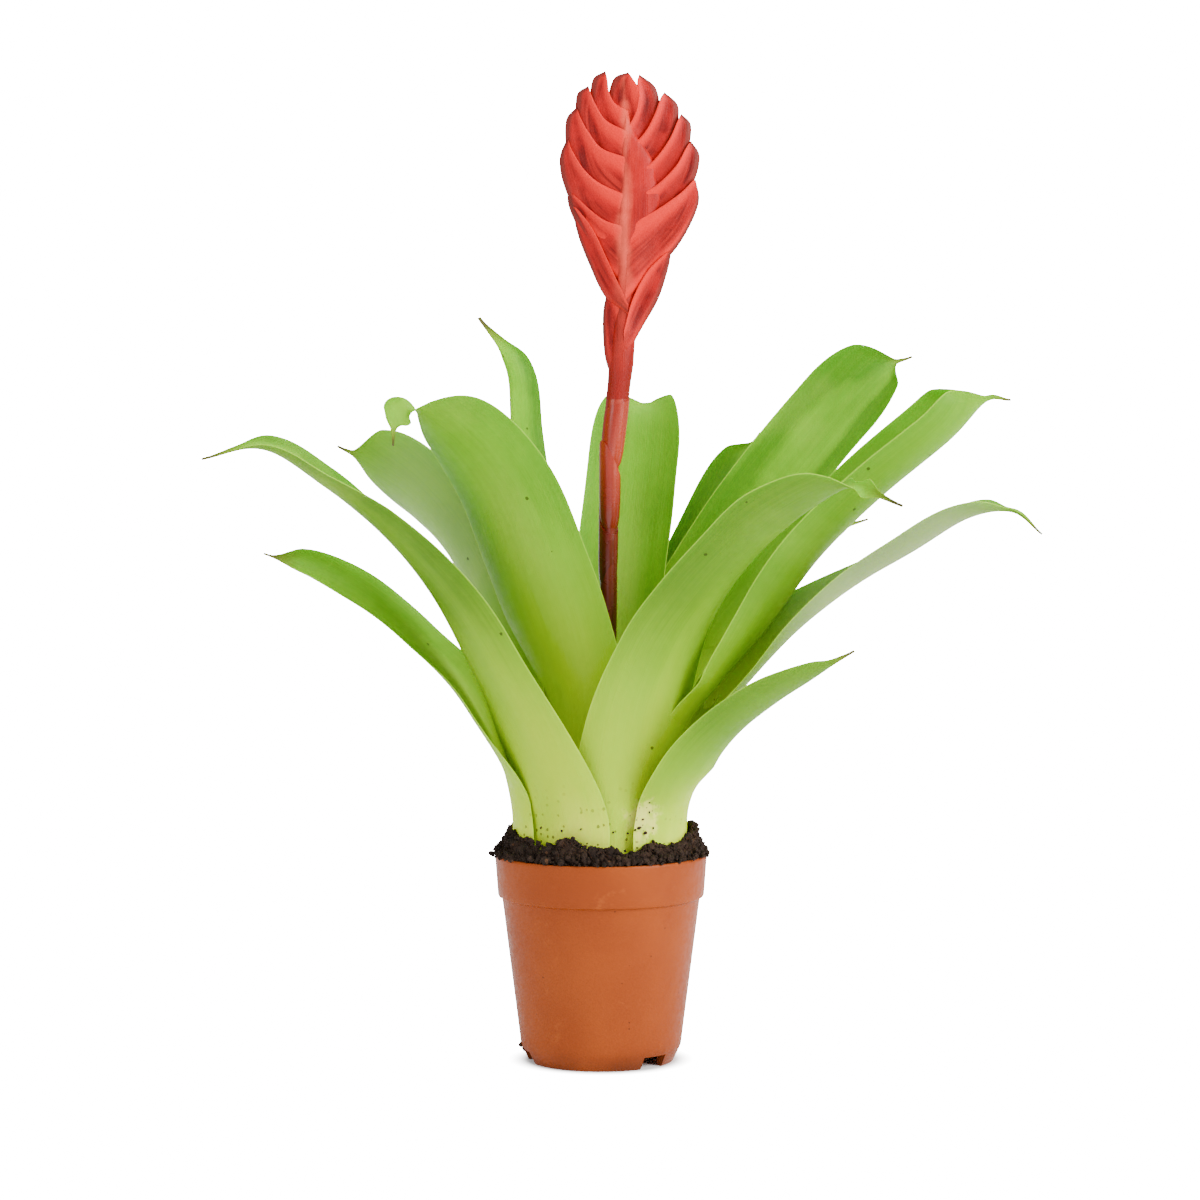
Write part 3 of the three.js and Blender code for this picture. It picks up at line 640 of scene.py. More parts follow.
def sheathRings(foot, tip, heading, mouth, wide):
    look = stemLook
    turn, lean = math.radians(heading), toward(heading)

    def ring(height, out, radius, part):
        # part is how much of the mouth's slant this ring takes on
        def rise(angles):
            return (tip - mouth) * part * ((1 + np.cos(angles - turn)) / 2) ** 1.6

        return ringAt(stemAt(height) + lean * out, radius, look["sides"], rise if part else None)

    radius = look["radius"]
    rings = [
        ring(mix(foot, mouth, share), out, radius + wide * more, part)
        for share, more, out, part in look["sheathSteps"]
    ]
    rings.append(ring(mouth, 0.4, radius + wide * 0.6, 0.985))
    rings.append(ring(mouth, 0.3, radius - 0.6, 0.86))
    return rings


def stemPiece():
    look = stemLook
    stem = [
        ringAt(stemAt(z), stemRadius(z) * (1 + 0.015 * math.sin(z / 5.3)), look["sides"])
        for z in np.linspace(look["foot"], look["top"], look["rows"])
    ]
    parts = [stem] + [sheathRings(*sheath) for sheath in look["sheaths"]]
    points, faces, placeMm, shares = [], [], [], []
    for number, rings in enumerate(parts):
        made, skin = loft(rings)
        addSkin(points, faces, made, skin)
        for p in made:
            middle = stemAt(p[2])
            around = abs(math.atan2(p[1] - middle[1], p[0] - middle[0]))
            placeMm.append((around * look["radius"], p[2], number * 9.1))
            shares.append((number / len(look["sheaths"]), 0, 0))
    return meshPiece("stalk", points, faces, look["sharpAngle"], {"stemMm": placeMm, "stemShare": shares})


def stemMaterial():
    look = stemLook
    material, tree, shader = newMaterial("redStalk", look["shader"])
    spot = attribute(tree, "stemMm")
    lines = effect(tree, veins, spot, look["veins"])
    clouds = effect(tree, mottle, objectPlace(tree), look["clouds"])
    height = separate(tree, spot)["Y"]
    wrapped = separate(tree, attribute(tree, "stemShare"))["X"]
    share = ranged(tree, plus(tree, height, times(tree, clouds["Patches"], 14.0)), 190.0, 275.0)
    colour = ramp(tree, share, [(0.0, look["low"]), (0.45, look["middle"]), (1.0, look["high"])])
    # pale streaks, more of them up the stem, are partly the stalk's own streaks and partly a painted
    # highlight on its glossy upper part
    upper = times(tree, ranged(tree, height, 236.0, 262.0), 0.34)
    sheathed = ranged(tree, height, 225.0, 262.0, 0.05, 0.16)
    colour = layered(tree, look, colour, [
        (ranged(tree, height, 130.0, 195.0, 0.5, 0.0), "green"),
        (times(tree, lines["Streaks"], plus(tree, upper, 0.14)), "pale"),
        (times(tree, ranged(tree, wrapped, 0.1, 0.9), sheathed), "pale"),
    ])
    rough = ranged(tree, clouds["Patches"], 0.0, 1.0, 0.22, 0.3)
    dressShader(tree, shader, colour, rough, lines["Lines"], 0.12)
    return material


place(stemPiece(), "flower_stem", stemMaterial(), "flower_stem")
print("stem made")


# flower spike: bracts in two ranks, each folded along a keel that is its outer edge
spikeLook = {
    "rows": 46, "roundFrom": 0.84, "coreTop": 404.0, "coreSides": 28, "sharpAngle": 48,
    # the axis of the head, with first and last depths of its left ridge, right swelling and thickness
    "axisFoot": 326, "axisTop": 404, "axisRows": 90, "axisSides": 60,
    "ridge": (5.0, 2.6), "swelling": (4.0, 13.5), "axisDepth": (6.4, 4.9),
    # side, half thickness at the fold, keel points from foot to tip, fold points from the axis up
    "bracts": [
        (-1, 4.9, [(6.4, 289), (2.1, 299), (0.8, 310), (0.8, 320), (1.9, 327)],
         [(11, 305), (10, 315), (8, 322), (5, 326.5)]),
        (1, 5.5, [(9.5, 299), (17, 312.7), (24.2, 325.4), (28.4, 338), (30.1, 346.5)],
         [(9.8, 312.7), (13.2, 325.4), (19.1, 336.9), (26, 344)]),
        (-1, 5.7, [(11.5, 318.7), (1.7, 326.7), (-5.3, 341), (-10, 353.4), (-12.7, 366)],
         [(11.5, 323.7), (4.2, 339), (-3, 354.2), (-8.9, 362.5)]),
        (1, 6.1, [(10, 323), (20, 334.5), (33, 348.7), (41.3, 365.6), (40.3, 376.5)],
         [(12, 356.7), (25, 364.3), (33.9, 370.7), (38.6, 375.4)]),
        (-1, 5.9, [(11.5, 329.7), (-1.3, 341.5), (-10.2, 356.7), (-13.9, 365.6), (-14.4, 372)],
         [(11, 355.9), (1.7, 358.9), (-4.2, 363.1), (-10.2, 368.6)]),
        (1, 5.6, [(10.5, 348.7), (25, 355.9), (37.7, 371.9), (41.9, 385.4), (38.1, 393)],
         [(11.5, 367.7), (22.6, 373.2), (31.4, 381.6), (35.9, 389.4)]),
        (-1, 5.6, [(11.5, 341.5), (-5.5, 352.9), (-14.8, 371.1), (-17.6, 384.6), (-14, 395)],
         [(11, 369.4), (-0.4, 374.5), (-7.2, 380.4), (-12.5, 389)]),
        (1, 5.0, [(10.5, 361.4), (22.9, 367.7), (34.7, 382.5), (38.3, 398.1), (33.9, 404.5)],
         [(11.5, 376.2), (21.5, 383.5), (28.5, 392.5), (32.2, 400.5)]),
        (-1, 5.2, [(11.5, 352.9), (-4.7, 365.6), (-13.6, 384.6), (-15, 400.6), (-10.2, 407.3)],
         [(11, 385.4), (0.4, 389.2), (-5.5, 396.4), (-8.9, 402.7)]),
        (1, 4.4, [(10.5, 371.9), (20.8, 379.5), (30.1, 393), (32.9, 406.5), (26.7, 413.6)],
         [(11.5, 388.8), (18.5, 396), (22.6, 403.5), (25, 410)]),
        (-1, 4.7, [(12, 365.6), (-1.3, 377), (-9.3, 395.1), (-10.5, 411.1), (-5.2, 416.2)],
         [(11, 396.4), (2.1, 401), (-2.1, 407.3), (-4.4, 412.6)]),
        (1, 3.8, [(10.5, 382.5), (18.6, 390.9), (24.3, 403.6), (23.4, 414.6), (15.9, 421.1)],
         [(11.5, 398.1), (14.8, 404.8), (15.9, 411.5), (15.4, 417)]),
        (-1, 4.1, [(12, 377), (2.1, 386.7), (-4, 403.6), (-3.8, 417.8), (2, 422.4)],
         [(11.5, 404.8), (5.9, 408.2), (3.4, 412.8), (2.7, 418.2)]),
        (-1, 3.2, [(12.5, 388.8), (6.8, 397.2), (3, 407.8), (5.2, 418.6), (11.6, 421.8)],
         [(14, 402.3), (16.9, 408.2), (16.1, 414.1), (13.6, 418.5)]),
    ],
    # across the flank, from the keel to the fold: share of the way, height on the blade, height at its root
    "flank": [(0.0, 0.0, 0.0), (0.012, 0.1, 0.4), (0.035, 0.18, 0.62), (0.08, 0.28, 0.78),
              (0.15, 0.39, 0.86), (0.24, 0.48, 0.89), (0.34, 0.52, 0.91), (0.45, 0.51, 0.92),
              (0.56, 0.52, 0.93), (0.67, 0.59, 0.94), (0.77, 0.71, 0.95), (0.86, 0.85, 0.96),
              (0.93, 0.95, 0.97), (0.975, 0.98, 0.97), (1.0, 0.93, 0.95)],
    "shader": {"Specular IOR Level": 0.16},
    "veins": {"Lines per mm": 1.3, "Drift": 0.05}, "clouds": {"Scale": 70.0},
    # deep is the red of the painted valley shade, salmon serves the bracts' streaks and the painted
    # highlights on keel and fold, and rim is the brown of the painted edge shade
    "coral": tint(170, 3, 3), "deep": tint(84, 0, 0), "salmon": tint(216, 32, 21), "rim": tint(66, 32, 26),
    "pale": tint(208, 76, 56), "foot": tint(122, 20, 14),
}


def coreRings():
    # the stalk goes on inside the head and thins upwards
    radius, swell = stemLook["radius"], stemLook["swell"]
    core = [(stemLook["top"] - 0.5, radius + swell + 0.12), (290, radius + swell + 0.15), (298, radius + 2),
            (308, radius + 1.7), (318, radius + 1.2), (340, radius + 0.6), (360, radius + 0.4),
            (385, radius), (spikeLook["coreTop"], 1.8)]
    return [ringAt(stemAt(z), r, spikeLook["coreSides"]) for z, r in core]


def axisRings():
    # the axis of the head: a soft ridge on the left and a smooth swelling over the roots of the right rank
    look = spikeLook
    foot, top, angles = look["axisFoot"], look["axisTop"], anglesRound(look["axisSides"])
    rings = []
    for z in np.linspace(foot, top, look["axisRows"]):
        share = (z - foot) / (top - foot)
        ends = math.sin(math.pi * mix(0.06, 0.94, share)) ** 0.6
        left = mix(*look["ridge"], share) * ends * (1 + 0.1 * ripple(z / 4, 1, 5))
        right = mix(*look["swelling"], smooth(share, 0.08, 0.55)) * (1 - 0.75 * smooth(share, 0.72, 1)) * ends
        right *= 1 + 0.09 * ripple(z / 3.1, 2, 8)
        deep = mix(*look["axisDepth"], share**1.3) * math.sin(math.pi * mix(0.08, 0.92, share)) ** 0.2
        lumps = 0.22 * ripple(z / 2.4, 3 * np.cos(angles), 6) + 0.14 * ripple(z / 5, 5 * np.cos(angles), 9)
        out = np.sign(np.sin(angles)) * np.abs(np.sin(angles)) ** 0.42 * (deep + lumps)
        out[len(angles) // 2] = 0
        over = np.where(np.cos(angles) > 0, right, left) * np.cos(angles)
        middle = stemAt(z) + [0.4 * ripple(z / 9, 3, 7) - 0.6, 0, 0]
        rings.append(list(np.stack([over, out, np.zeros(len(angles))], 1) + middle))
    return rings


def bractRings(side, full, keel, fold):
    look = spikeLook
    outer = [np.array([x, 0.0, z]) for x, z in keel]
    inner = [np.array([x, 0.0, z]) for x, z in fold + [keel[-1]]]
    rings, shares = [], []
    for i in range(look["rows"]):
        t = i / (look["rows"] - 1) * 0.985
        edge = curvePoint(outer, t)
        across = curvePoint(inner, t) - edge
        length = np.linalg.norm(across)
        # thinner towards the tip and where the flank is narrow, fuller at the root, and round at the tip
        thick = min(full * mix(1, 0.3, t**1.5), length * 0.45 + 0.6 + 4 * (1 - t))
        root = 1 - smooth(t, 0, 0.35)
        past = max(0.0, (t - look["roundFrom"]) / (1 - look["roundFrom"]))
        blunt = math.sqrt(1 - past**2)
        edge, across = edge + across * (1 - blunt) / 2, across * blunt
        front, back, marks = [], [], []
        for share, height, rootHeight in look["flank"]:
            out = max(mix(height, rootHeight, root) * thick, 0.05)
            crease = 1 + 0.03 * ripple(share * 9, t * 5, int(full * 10))
            front.append(edge + across * share + [0, -out * crease, 0])
            back.append(edge + across * share + [0, out * crease, 0])
            marks.append(share)
        ring = front + [edge + across * 1.02] + back[:0:-1]
        around = marks + [1.0] + marks[:0:-1]
        if side > 0:
            ring, around = ring[::-1], around[::-1]
        rings.append(ring)
        shares.append([(share, t, length) for share in around])
    return rings, shares


def spikePiece():
    look = spikeLook
    points, faces, shares, placeMm = [], [], [], []
    # the core and the axis are each coloured like one place on a bract
    for rings, share, t, depth in ((coreRings(), 0.62, 0.3, 0.0), (axisRings(), 0.7, 0.1, 3.0)):
        made, skin = loft(rings)
        addSkin(points, faces, made, skin)
        shares += [(share, t, 0)] * len(made)
        placeMm += [(p[0], p[2], depth) for p in made]
    for number, bract in enumerate(look["bracts"]):
        rings, marks = bractRings(*bract)
        addSkin(points, faces, *loft(rings))
        flat = [m for ring in marks for m in ring] + [(0.5, 0.0, 1.0), (0.5, 1.0, 1.0)]
        shares += [(share, t, 0) for share, t, _ in flat]
        placeMm += [(share * deep, t * 60, number * 5.7) for share, t, deep in flat]
    away = [(p[0] - stemAt(min(max(p[2], 200), 420))[0], p[2], 0.0) for p in points]
    data = {"bractShare": shares, "bractMm": placeMm, "headMm": away}
    return meshPiece("flowerHead", points, faces, look["sharpAngle"], data)


def bractMaterial():
    look = spikeLook
    material, tree, shader = newMaterial("coralBract", look["shader"])
    bractMm = attribute(tree, "bractMm")
    shares, head = separate(tree, attribute(tree, "bractShare")), separate(tree, attribute(tree, "headMm"))
    across, along, height = shares["X"], shares["Y"], head["Y"]
    inward = separate(tree, bractMm)["X"]
    lines = effect(tree, veins, bractMm, look["veins"])
    clouds = effect(tree, mottle, objectPlace(tree), look["clouds"])
    patches = clouds["Patches"]
    # painted shade: deep red in the hollow middle of each flank, below the raised fold, fading towards the
    # tip
    valleyShade = times(tree, ranged(tree, across, 0.14, 0.34), ranged(tree, across, 0.84, 0.6))
    valleyShade = times(tree, valleyShade, ranged(tree, along, 0.95, 0.6, 0.1, 1.0))
    valleyShade = times(tree, valleyShade, ranged(tree, patches, 0.0, 0.8, 0.3, 1.0))
    # painted highlight on the rounded keel
    keel = times(tree, ranged(tree, across, 0.02, 0.08), ranged(tree, across, 0.26, 0.12))
    # the pale middle of the head, ragged at its sides and wider below
    spread = maths(tree, "ABSOLUTE", plus(tree, head["X"], 1.2))
    spread = plus(tree, spread, times(tree, patches, 3.4))
    spread = plus(tree, spread, ranged(tree, height, 335, 400, 0.0, 2.5))
    centre = times(tree, ranged(tree, spread, 7.0, 2.2, 0.0, 0.75), ranged(tree, height, 322, 350, 0.2, 1.0))
    # painted shade: darker brown along the outer edge of each bract, where it rounds away
    rim = times(tree, ranged(tree, inward, 4.0, 1.5), ranged(tree, along, 0.15, 0.5, 0.3, 0.8))
    colour = layered(tree, look, look["coral"], [
        (valleyShade, "deep"),
        (times(tree, times(tree, patches, 0.45), lines["Streaks"]), "salmon"),
        # painted highlight, salmon, on the raised part by the fold and on the keel
        (ranged(tree, across, 0.7, 0.92, 0.0, 0.6), "salmon"),
        (times(tree, keel, 0.55), "salmon"),
        (centre, "pale"),
        (rim, "rim"),
        (ranged(tree, height, 312.0, 290.0, 0.0, 0.85), "foot"),
    ])
    rough = plus(tree, ranged(tree, height, 290.0, 312.0, 0.26, 0.42), times(tree, clouds["Grain"], 0.1))
    dressShader(tree, shader, colour, rough, lines["Lines"], 0.3)
    return material


place(spikePiece(), "flower_spike", bractMaterial(), "flower_spike")
print("flower spike made")


# pot
potLook = {
    "height": 89.0, "rim": 45.4, "bandHeight": 18.0, "bandFoot": 44.2, "bodyTop": 42.4, "bodyFoot": 34.4,
    "wall": 1.3, "foot": 31.2, "footWidth": 2.6, "chamfer": 7.0, "floor": 6.0, "floorThickness": 1.4,
    "notchWidth": 12.5, "notchHeight": 5.4, "notchDepth": 14, "notchHeadings": (-46, 74, 194),
    "drainRadius": 3.6, "drainCircle": 17.0, "drainCount": 6, "segments": 144, "sharpAngle": 32,
    "shader": {"Specular IOR Level": 0.09}, "clouds": {"Scale": 26.0}, "rubbing": (55.0, 6.0, 0.75),
    "specks": {"Scale": 330.0, "Size": 0.13, "Share": 0.05},
    "clay": tint(134, 60, 18), "clayDeep": tint(124, 53, 16), "scuff": tint(172, 88, 34),
    "darkBrown": tint(48, 26, 14),
}


def potProfile():
    # radius and height, from the middle of the floor's underside, up the outside and down the inside
    look = potLook
    wall, rim, top, chamfer = look["wall"], look["rim"], look["height"], look["chamfer"]
    foot, bodyFoot, bodyTop = look["foot"], look["bodyFoot"], look["bodyTop"]
    bandFoot, bandLevel = look["bandFoot"], look["height"] - look["bandHeight"]
    ringInside, floorTop = look["foot"] - look["footWidth"], look["floor"] + look["floorThickness"]
    outer = [
        (0, look["floor"]), (ringInside - 0.3, look["floor"]), (ringInside, look["floor"] - 0.3),
        (ringInside, 0.2), (ringInside + 0.2, 0), (foot - 0.35, 0), (foot, 0.35),
        (bodyFoot - 0.5, chamfer - 1.1), (bodyFoot - 0.12, chamfer - 0.25), (bodyFoot + 0.12, chamfer + 0.8),
    ]
    for step in range(1, 12):
        outer.append((mix(bodyFoot, bodyTop, step / 12), mix(chamfer, bandLevel - 0.8, step / 12)))
    outer += [
        (bodyTop - 0.05, bandLevel - 1.4), (bodyTop + 0.12, bandLevel - 0.75),
        (bandFoot - 0.75, bandLevel - 0.15), (bandFoot - 0.28, bandLevel + 0.1),
        (bandFoot - 0.02, bandLevel + 0.7),
    ]
    for step in range(1, 6):
        outer.append((mix(bandFoot, rim, step / 6), mix(bandLevel + 0.6, top - 1.2, step / 6)))
    return outer + [
        (rim, top - 1.25), (rim - 0.05, top - 0.7), (rim - 0.25, top - 0.22), (rim - 0.6, top),
        (rim - wall - 0.1, top), (rim - wall - 0.35, top - 0.25), (bodyTop - wall, bandLevel),
        (bodyFoot - wall, chamfer + 2), (bodyFoot - wall - 1.5, floorTop), (0, floorTop),
    ]


def potCutters():
    # blocks for the notches in the foot ring and rods for the drain holes
    look = potLook
    cutters = []
    for heading in look["notchHeadings"]:
        bpy.ops.mesh.primitive_cube_add(size=1)
        cutter = bpy.context.object
        cutter.scale = (look["notchDepth"] * mm, look["notchWidth"] * mm, look["notchHeight"] * 2 * mm)
        spot = plantAxis + (look["foot"] + 1) * toward(heading)
        cutter.location = (spot[0] * mm, spot[1] * mm, 0)
        cutter.rotation_euler = (0, 0, math.radians(heading))
        cutters.append(cutter)
    for number in range(look["drainCount"]):
        turn = number * 2 * math.pi / look["drainCount"]
        spot = (plantAxis[:2] + look["drainCircle"] * np.array([math.cos(turn), math.sin(turn)])) * mm
        bpy.ops.mesh.primitive_cylinder_add(
            vertices=40, radius=look["drainRadius"] * mm, depth=10 * mm,
            location=(spot[0], spot[1], look["floor"] * mm))
        cutters.append(bpy.context.object)
    return cutters


def potPiece():
    look = potLook
    count, profile = look["segments"], potProfile()
    angles = anglesRound(count)
    points = [np.array([0, 0, profile[0][1]])]
    for radius, height in profile[1:-1]:
        points += list(circle(angles, radius, height))
    points.append(np.array([0, 0, profile[-1][1]]))
    rows = len(profile) - 2
    faces = tubeFaces(rows, count, 1)
    faces += [(0, 1 + (j + 1) % count, 1 + j) for j in range(count)]
    end = 1 + (rows - 1) * count
    faces += [(len(points) - 1, end + j, end + (j + 1) % count) for j in range(count)]
    piece = meshPiece("nurseryPot", points, faces, look["sharpAngle"])
    cutters = potCutters()
    for cutter in cutters:
        cut = piece.modifiers.new("cut", "BOOLEAN")
        cut.operation = "DIFFERENCE"
        cut.object = cutter
    bpy.context.view_layer.update()
    shape = bpy.data.meshes.new_from_object(piece.evaluated_get(bpy.context.evaluated_depsgraph_get()))
    piece.modifiers.clear()
    piece.data = shape
    for cutter in cutters:
        bpy.data.objects.remove(cutter)
    shape.set_sharp_from_angle(angle=math.radians(look["sharpAngle"]))
    return piece


def potMaterial():
    look = potLook
    material, tree, shader = newMaterial("clayPlastic", look["shader"])
    here = objectPlace(tree)
    clouds = effect(tree, mottle, here, look["clouds"])
    spots = effect(tree, specks, here, look["specks"])
    up = separate(tree, here)["Z"]
    # rubbed paler in places and along the rim, and darker in patches towards the foot
    rubbed = ranged(tree, noise(tree, here, *look["rubbing"])["Fac"], 0.6, 0.72)
    rubbed = times(tree, rubbed, plus(tree, ranged(tree, up, 0.0845, 0.089), 0.25), clamp=True)
    low = times(tree, ranged(tree, up, 0.012, 0.0), clouds["Patches"])
    colour = layered(tree, look, look["clay"], [
        (clouds["Patches"], "clayDeep"),
        (rubbed, "scuff"),
        (times(tree, spots["Mask"], 0.6), "darkBrown"),
        (times(tree, low, 0.5), "darkBrown"),
    ])
    rough = plus(tree, times(tree, clouds["Grain"], 0.12), 0.36)
    dressShader(tree, shader, colour, rough, clouds["Grain"], 0.05)
    return material


place(potPiece(), "pot", potMaterial(), "pot")
print("pot made")


# soil
soilLook = {
    "top": 98.5, "pitRadius": 39.2, "pitFloor": 87.4, "gap": 0.35, "segments": 160, "bodyAngle": 60,
    "stemHole": 5.4, "stemHoleFoot": 70, "frontDip": 4.6, "crumbAngle": 80,
    # how many, least and greatest distance from the axis, least size and what chance adds to it
    "crumbs": 2300, "crumbRing": (38.4, 44.6), "crumbSize": (0.4, 1.5), "rimInside": 43.6,
    # a spilt crumb lies at least this far out, and may lie higher the nearer it is to that
    "spiltFrom": 43.0, "spiltSize": (0.35, 1.0), "spiltHeap": 4.2,
    "fibres": 260, "fibreRing": (38.5, 44.0), "fibreLength": (2.5, 7.5), "fibreThickness": (0.1, 0.24),
    # middle and spread in degrees, how far out it lies, how many crumbs
    "spills": [(182, 44, 47.6, 110), (-6, 34, 46.6, 70), (250, 50, 45.9, 50), (300, 40, 45.9, 40),
               (90, 90, 46.0, 60)],
    # heading in degrees, distance from the axis, height, size
    "stuck": [(-64.5, 37.1, 104.0, 0.9), (-62.0, 37.4, 107.5, 0.6), (-60.0, 37.2, 101.8, 0.8),
              (-67.0, 36.8, 103.2, 0.5), (-70.0, 32.9, 101.4, 0.6), (-57.5, 37.9, 110.5, 0.5),
              (-59.0, 39.5, 114.8, 0.4), (-54.0, 37.4, 103.5, 0.6), (-81.0, 32.9, 102.0, 0.5),
              (-104.0, 35.1, 103.5, 0.5), (-118.0, 35.2, 102.5, 0.6), (-136.0, 35.2, 103.0, 0.5),
              (187.5, 34.6, 6.9, 1.2), (191.5, 33.8, 5.7, 0.8), (184.0, 34.0, 5.8, 0.6)],
    "shader": {"Specular IOR Level": 0.25}, "clouds": {"Scale": 160.0},
    "specks": {"Scale": 420.0, "Size": 0.3, "Share": 0.08},
    "dark": tint(16, 10, 6), "brown": tint(46, 28, 17), "light": tint(104, 68, 42),
}


def moundHeight(radius, angle):
    look = soilLook
    lumps = 1.6 * np.sin(3 * angle + 0.6) + 1.3 * np.sin(7 * angle + 2.1) + 0.9 * np.sin(13 * angle + radius)
    top = look["top"] - look["frontDip"] * ((1 - np.sin(angle - 0.1)) / 2) ** 6
    rim, inner = potLook["rim"], potLook["rim"] - potLook["wall"]
    fall = smooth(radius, look["pitRadius"], inner) * (top - potLook["height"] - 1.2)
    return top - fall + lumps * (1 - 0.55 * smooth(radius, look["pitRadius"], rim))


def soilBody():
    look = soilLook
    inside = potLook["wall"] + look["gap"]
    edge = potLook["rim"] - inside - 0.9
    floor = potLook["floor"] + potLook["floorThickness"] + look["gap"]
    angles = anglesRound(look["segments"])

    def flatRing(radius, height):
        return list(circle(angles, radius, height))

    def moundRing(radius, rise):
        height = moundHeight(radius, angles) + rise + rng.uniform(-0.7, 0.7, len(angles))
        return flatRing(radius + 0.5 * np.sin(11 * angles + radius), height)

    rings = [
        flatRing(potLook["bodyFoot"] - inside - 2.2, floor),
        flatRing(potLook["bodyFoot"] - inside - 0.5, potLook["chamfer"] + 3),
        flatRing(potLook["bodyTop"] - inside - 0.3, potLook["height"] - potLook["bandHeight"] - 0.5),
        flatRing(edge, potLook["height"] - 1.5),
    ]
    mound = [(edge - 0.5, -0.6), (edge - 1.2, 0.1), (edge - 2.2, 0.4), (edge - 3.2, 0.2), (39.8, 0.0)]
    rings += [moundRing(radius, rise) for radius, rise in mound]
    rings += [
        flatRing(look["pitRadius"], look["top"] - 5), flatRing(look["pitRadius"] - 0.6, look["pitFloor"]),
        flatRing(look["stemHole"], look["pitFloor"]), flatRing(look["stemHole"], look["stemHoleFoot"]),
    ]
    return meshPiece("soilFill", *loft(rings), look["bodyAngle"])


def lumpShape(detail):
    bpy.ops.mesh.primitive_ico_sphere_add(subdivisions=detail, radius=1)
    ball = bpy.context.object
    shape = np.array([v.co[:] for v in ball.data.vertices])
    faces = [tuple(p.vertices) for p in ball.data.polygons]
    bpy.data.objects.remove(ball)
    return shape, faces


def turnedShape(shape):
    a, b, c = rng.uniform(0, mostTurn, 3)
    turns = [np.array([[1, 0, 0], [0, math.cos(a), -math.sin(a)], [0, math.sin(a), math.cos(a)]]),
             np.array([[math.cos(b), 0, math.sin(b)], [0, 1, 0], [-math.sin(b), 0, math.cos(b)]]),
             np.array([[math.cos(c), -math.sin(c), 0], [math.sin(c), math.cos(c), 0], [0, 0, 1]])]
    return shape @ (turns[0] @ turns[1] @ turns[2])


def soilCrumbs():
    look, top = soilLook, potLook["height"]
    ball, skin = lumpShape(2)
    points, faces = [], []
    least, more = look["crumbSize"]
    spiltLeast, spiltMore = look["spiltSize"]

    def addLump(angle, radius, height, size):
        shape = ball * rng.uniform(0.66, 1.34, (len(ball), 1)) * rng.uniform(0.45, 1.25, 3)
        spot = np.array([radius * math.cos(angle), radius * math.sin(angle), height])
        addSkin(points, faces, list(turnedShape(shape) * size + spot), skin)

    for _ in range(look["crumbs"]):
        angle = rng.uniform(0, 2 * math.pi)
        size = least + more * rng.uniform() ** 2.8
        radius = rng.uniform(*look["crumbRing"])
        height = moundHeight(radius, angle) + rng.uniform(-0.6, 1.2)
        if radius > look["rimInside"]:
            height = max(height, top + size * 0.4)
        addLump(angle, radius, height, size)
    # loose soil spilt over the rim, most of it at the sides
    for middle, width, reach, count in look["spills"]:
        for _ in range(count):
            angle = math.radians(middle + width * rng.normal() / 2)
            size = spiltLeast + spiltMore * rng.uniform() ** 2
            radius = rng.uniform(look["spiltFrom"], reach)
            heap = max(0.0, look["spiltHeap"] - (radius - look["spiltFrom"]) * 1.1)
            height = top + size * 0.5 + heap * rng.uniform()
            addLump(angle, radius, height, size)
    # crumbs that stick to the feet of the leaves and to the pot's foot
    for heading, radius, height, size in look["stuck"]:
        addLump(math.radians(heading), radius, height, size)
    return meshPiece("soilCrumbs", points, faces, look["crumbAngle"])


def soilFibres():
    # short roots and peat fibres that lie on the loose top
    look = soilLook
    points, faces = [], []
    for _ in range(look["fibres"]):
        angle = rng.uniform(0, 2 * math.pi)
        radius = rng.uniform(*look["fibreRing"])
        long = rng.uniform(*look["fibreLength"])
        heading = angle + rng.choice([-1, 1]) * rng.uniform(0.9, 2.0)
        bow = rng.uniform(-0.8, 0.8)
        thick = rng.uniform(*look["fibreThickness"])
        rings = []
        for s in np.arange(7) / 6:
            turn = heading + bow * (s - 0.5)
            middle = np.array([
                radius * math.cos(angle) + long * (s - 0.5) * math.cos(turn),
                radius * math.sin(angle) + long * (s - 0.5) * math.sin(turn), 0])
            r = min(math.hypot(middle[0], middle[1]), 45.2)
            middle[2] = moundHeight(r, math.atan2(middle[1], middle[0])) + 0.9 + 0.8 * math.sin(3.1 * s)
            rings.append(ringAt(middle, thick * (1 - 0.5 * s), 5))
        addSkin(points, faces, *loft(rings))
    return meshPiece("soilFibres", points, faces, look["crumbAngle"])


def soilMaterial(name, lift):
    look = soilLook
    material, tree, shader = newMaterial(name, look["shader"])
    here = objectPlace(tree)
    clouds = effect(tree, mottle, here, look["clouds"])
    spots = effect(tree, specks, here, look["specks"])
    colour = layered(tree, look, look["dark"], [
        (clouds["Patches"], "brown"),
        (times(tree, clouds["Grain"], lift), "light"),
        (times(tree, spots["Mask"], 0.5), "light"),
    ])
    rough = ranged(tree, clouds["Patches"], 0.0, 1.0, 0.95, 0.75)
    dressShader(tree, shader, colour, rough, clouds["Grain"], 0.8, 0.0008)
    return material


darkPeat = soilMaterial("darkPeat", 0.12)
fibrePeat = soilMaterial("fibrePeat", 0.6)
place(soilBody(), "soil", darkPeat, "soil")
place(soilCrumbs(), "soil", darkPeat)
place(soilFibres(), "soil", fibrePeat)
print("soil made")


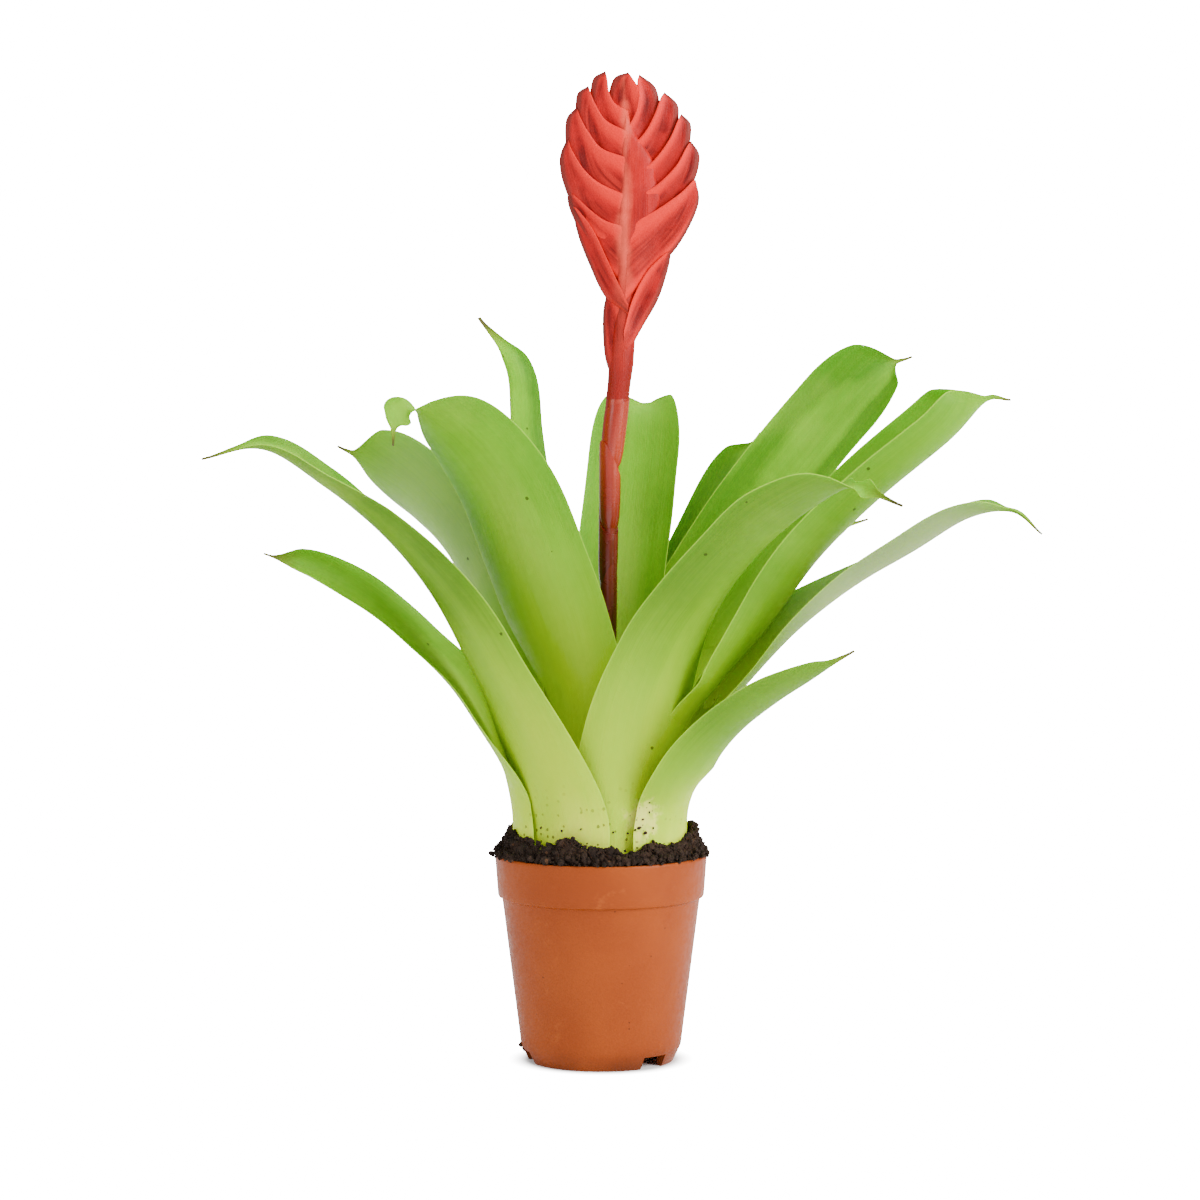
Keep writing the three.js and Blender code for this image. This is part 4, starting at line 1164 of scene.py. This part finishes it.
# floor, light and camera
studio = {
    "floor": tint(250, 250, 250), "floorSize": 30, "world": 1.15, "mirrored": 0.28, "seenWhite": 22.0,
    "whiteFrom": 0.031, "whiteAll": 0.044,  # metres from the pot's axis
    # name, place, size and power
    "lamps": [("keyRight", (1.6, -1.0, 1.0), 1.2, 90), ("fillLeft", (-1.5, -1.3, 0.8), 1.2, 16),
              ("overhead", (0.0, 0.1, 1.9), 1.4, 34)],
    "lampAim": (0, 0, 0.2),
    # the photo is 1200 pixels wide, and its focal length is 4039 of them
    "eye": (-0.43, -1720.0, 315.0), "tip": 3.9, "sensor": 36, "lens": 4039 / 1200 * 36, "farthest": 40,
}


def makeFloor():
    bpy.ops.mesh.primitive_plane_add(size=studio["floorSize"])
    floor = bpy.context.object
    floor.name = "studioFloor"
    fixed = {"Base Color": studio["floor"], "Roughness": 0.9, "Emission Color": (1, 1, 1, 1)}
    material, tree, shader = newMaterial("studioPaper", fixed)
    # the camera sees paper and backdrop as plain white, and neither lights the plant more for it
    seen = addNode(tree, "ShaderNodeLightPath").outputs["Is Camera Ray"]
    away = distance(tree, objectPlace(tree), tuple(plantAxis * mm))
    clear = ranged(tree, away, studio["whiteFrom"], studio["whiteAll"], 0.0, studio["seenWhite"] - 2)
    tree.links.new(times(tree, seen, clear), shader.inputs["Emission Strength"])
    floor.data.materials.append(material)


def makeWorld():
    world = bpy.data.worlds.new("studioWorld")
    bpy.context.scene.world = world
    world.use_nodes = True
    sky = world.node_tree
    path = addNode(sky, "ShaderNodeLightPath").outputs
    unseen = ranged(sky, path["Is Glossy Ray"], 0.0, 1.0, studio["world"], studio["mirrored"])
    strength = plus(sky, unseen, times(sky, path["Is Camera Ray"], studio["seenWhite"]))
    sky.nodes["Background"].inputs["Color"].default_value = (1, 1, 1, 1)
    sky.links.new(strength, sky.nodes["Background"].inputs["Strength"])


def makeLamps():
    for name, spot, size, power in studio["lamps"]:
        lamp = bpy.data.lights.new(name, "AREA")
        lamp.energy, lamp.size = power, size
        holder = bpy.data.objects.new(name, lamp)
        holder.location = spot
        holder.rotation_euler = (Vector(studio["lampAim"]) - Vector(spot)).to_track_quat("-Z", "Y").to_euler()
        bpy.context.scene.collection.objects.link(holder)


def makeCamera():
    camera = bpy.data.cameras.new("studioCamera")
    camera.lens, camera.sensor_width, camera.clip_end = studio["lens"], studio["sensor"], studio["farthest"]
    holder = bpy.data.objects.new("studioCamera", camera)
    holder.location = tuple((np.array(studio["eye"]) + plantAxis) * mm)
    holder.rotation_euler = (math.radians(90 - studio["tip"]), 0, 0)
    bpy.context.scene.collection.objects.link(holder)
    bpy.context.scene.camera = holder


makeFloor()
makeWorld()
makeLamps()
makeCamera()
print("studio made")
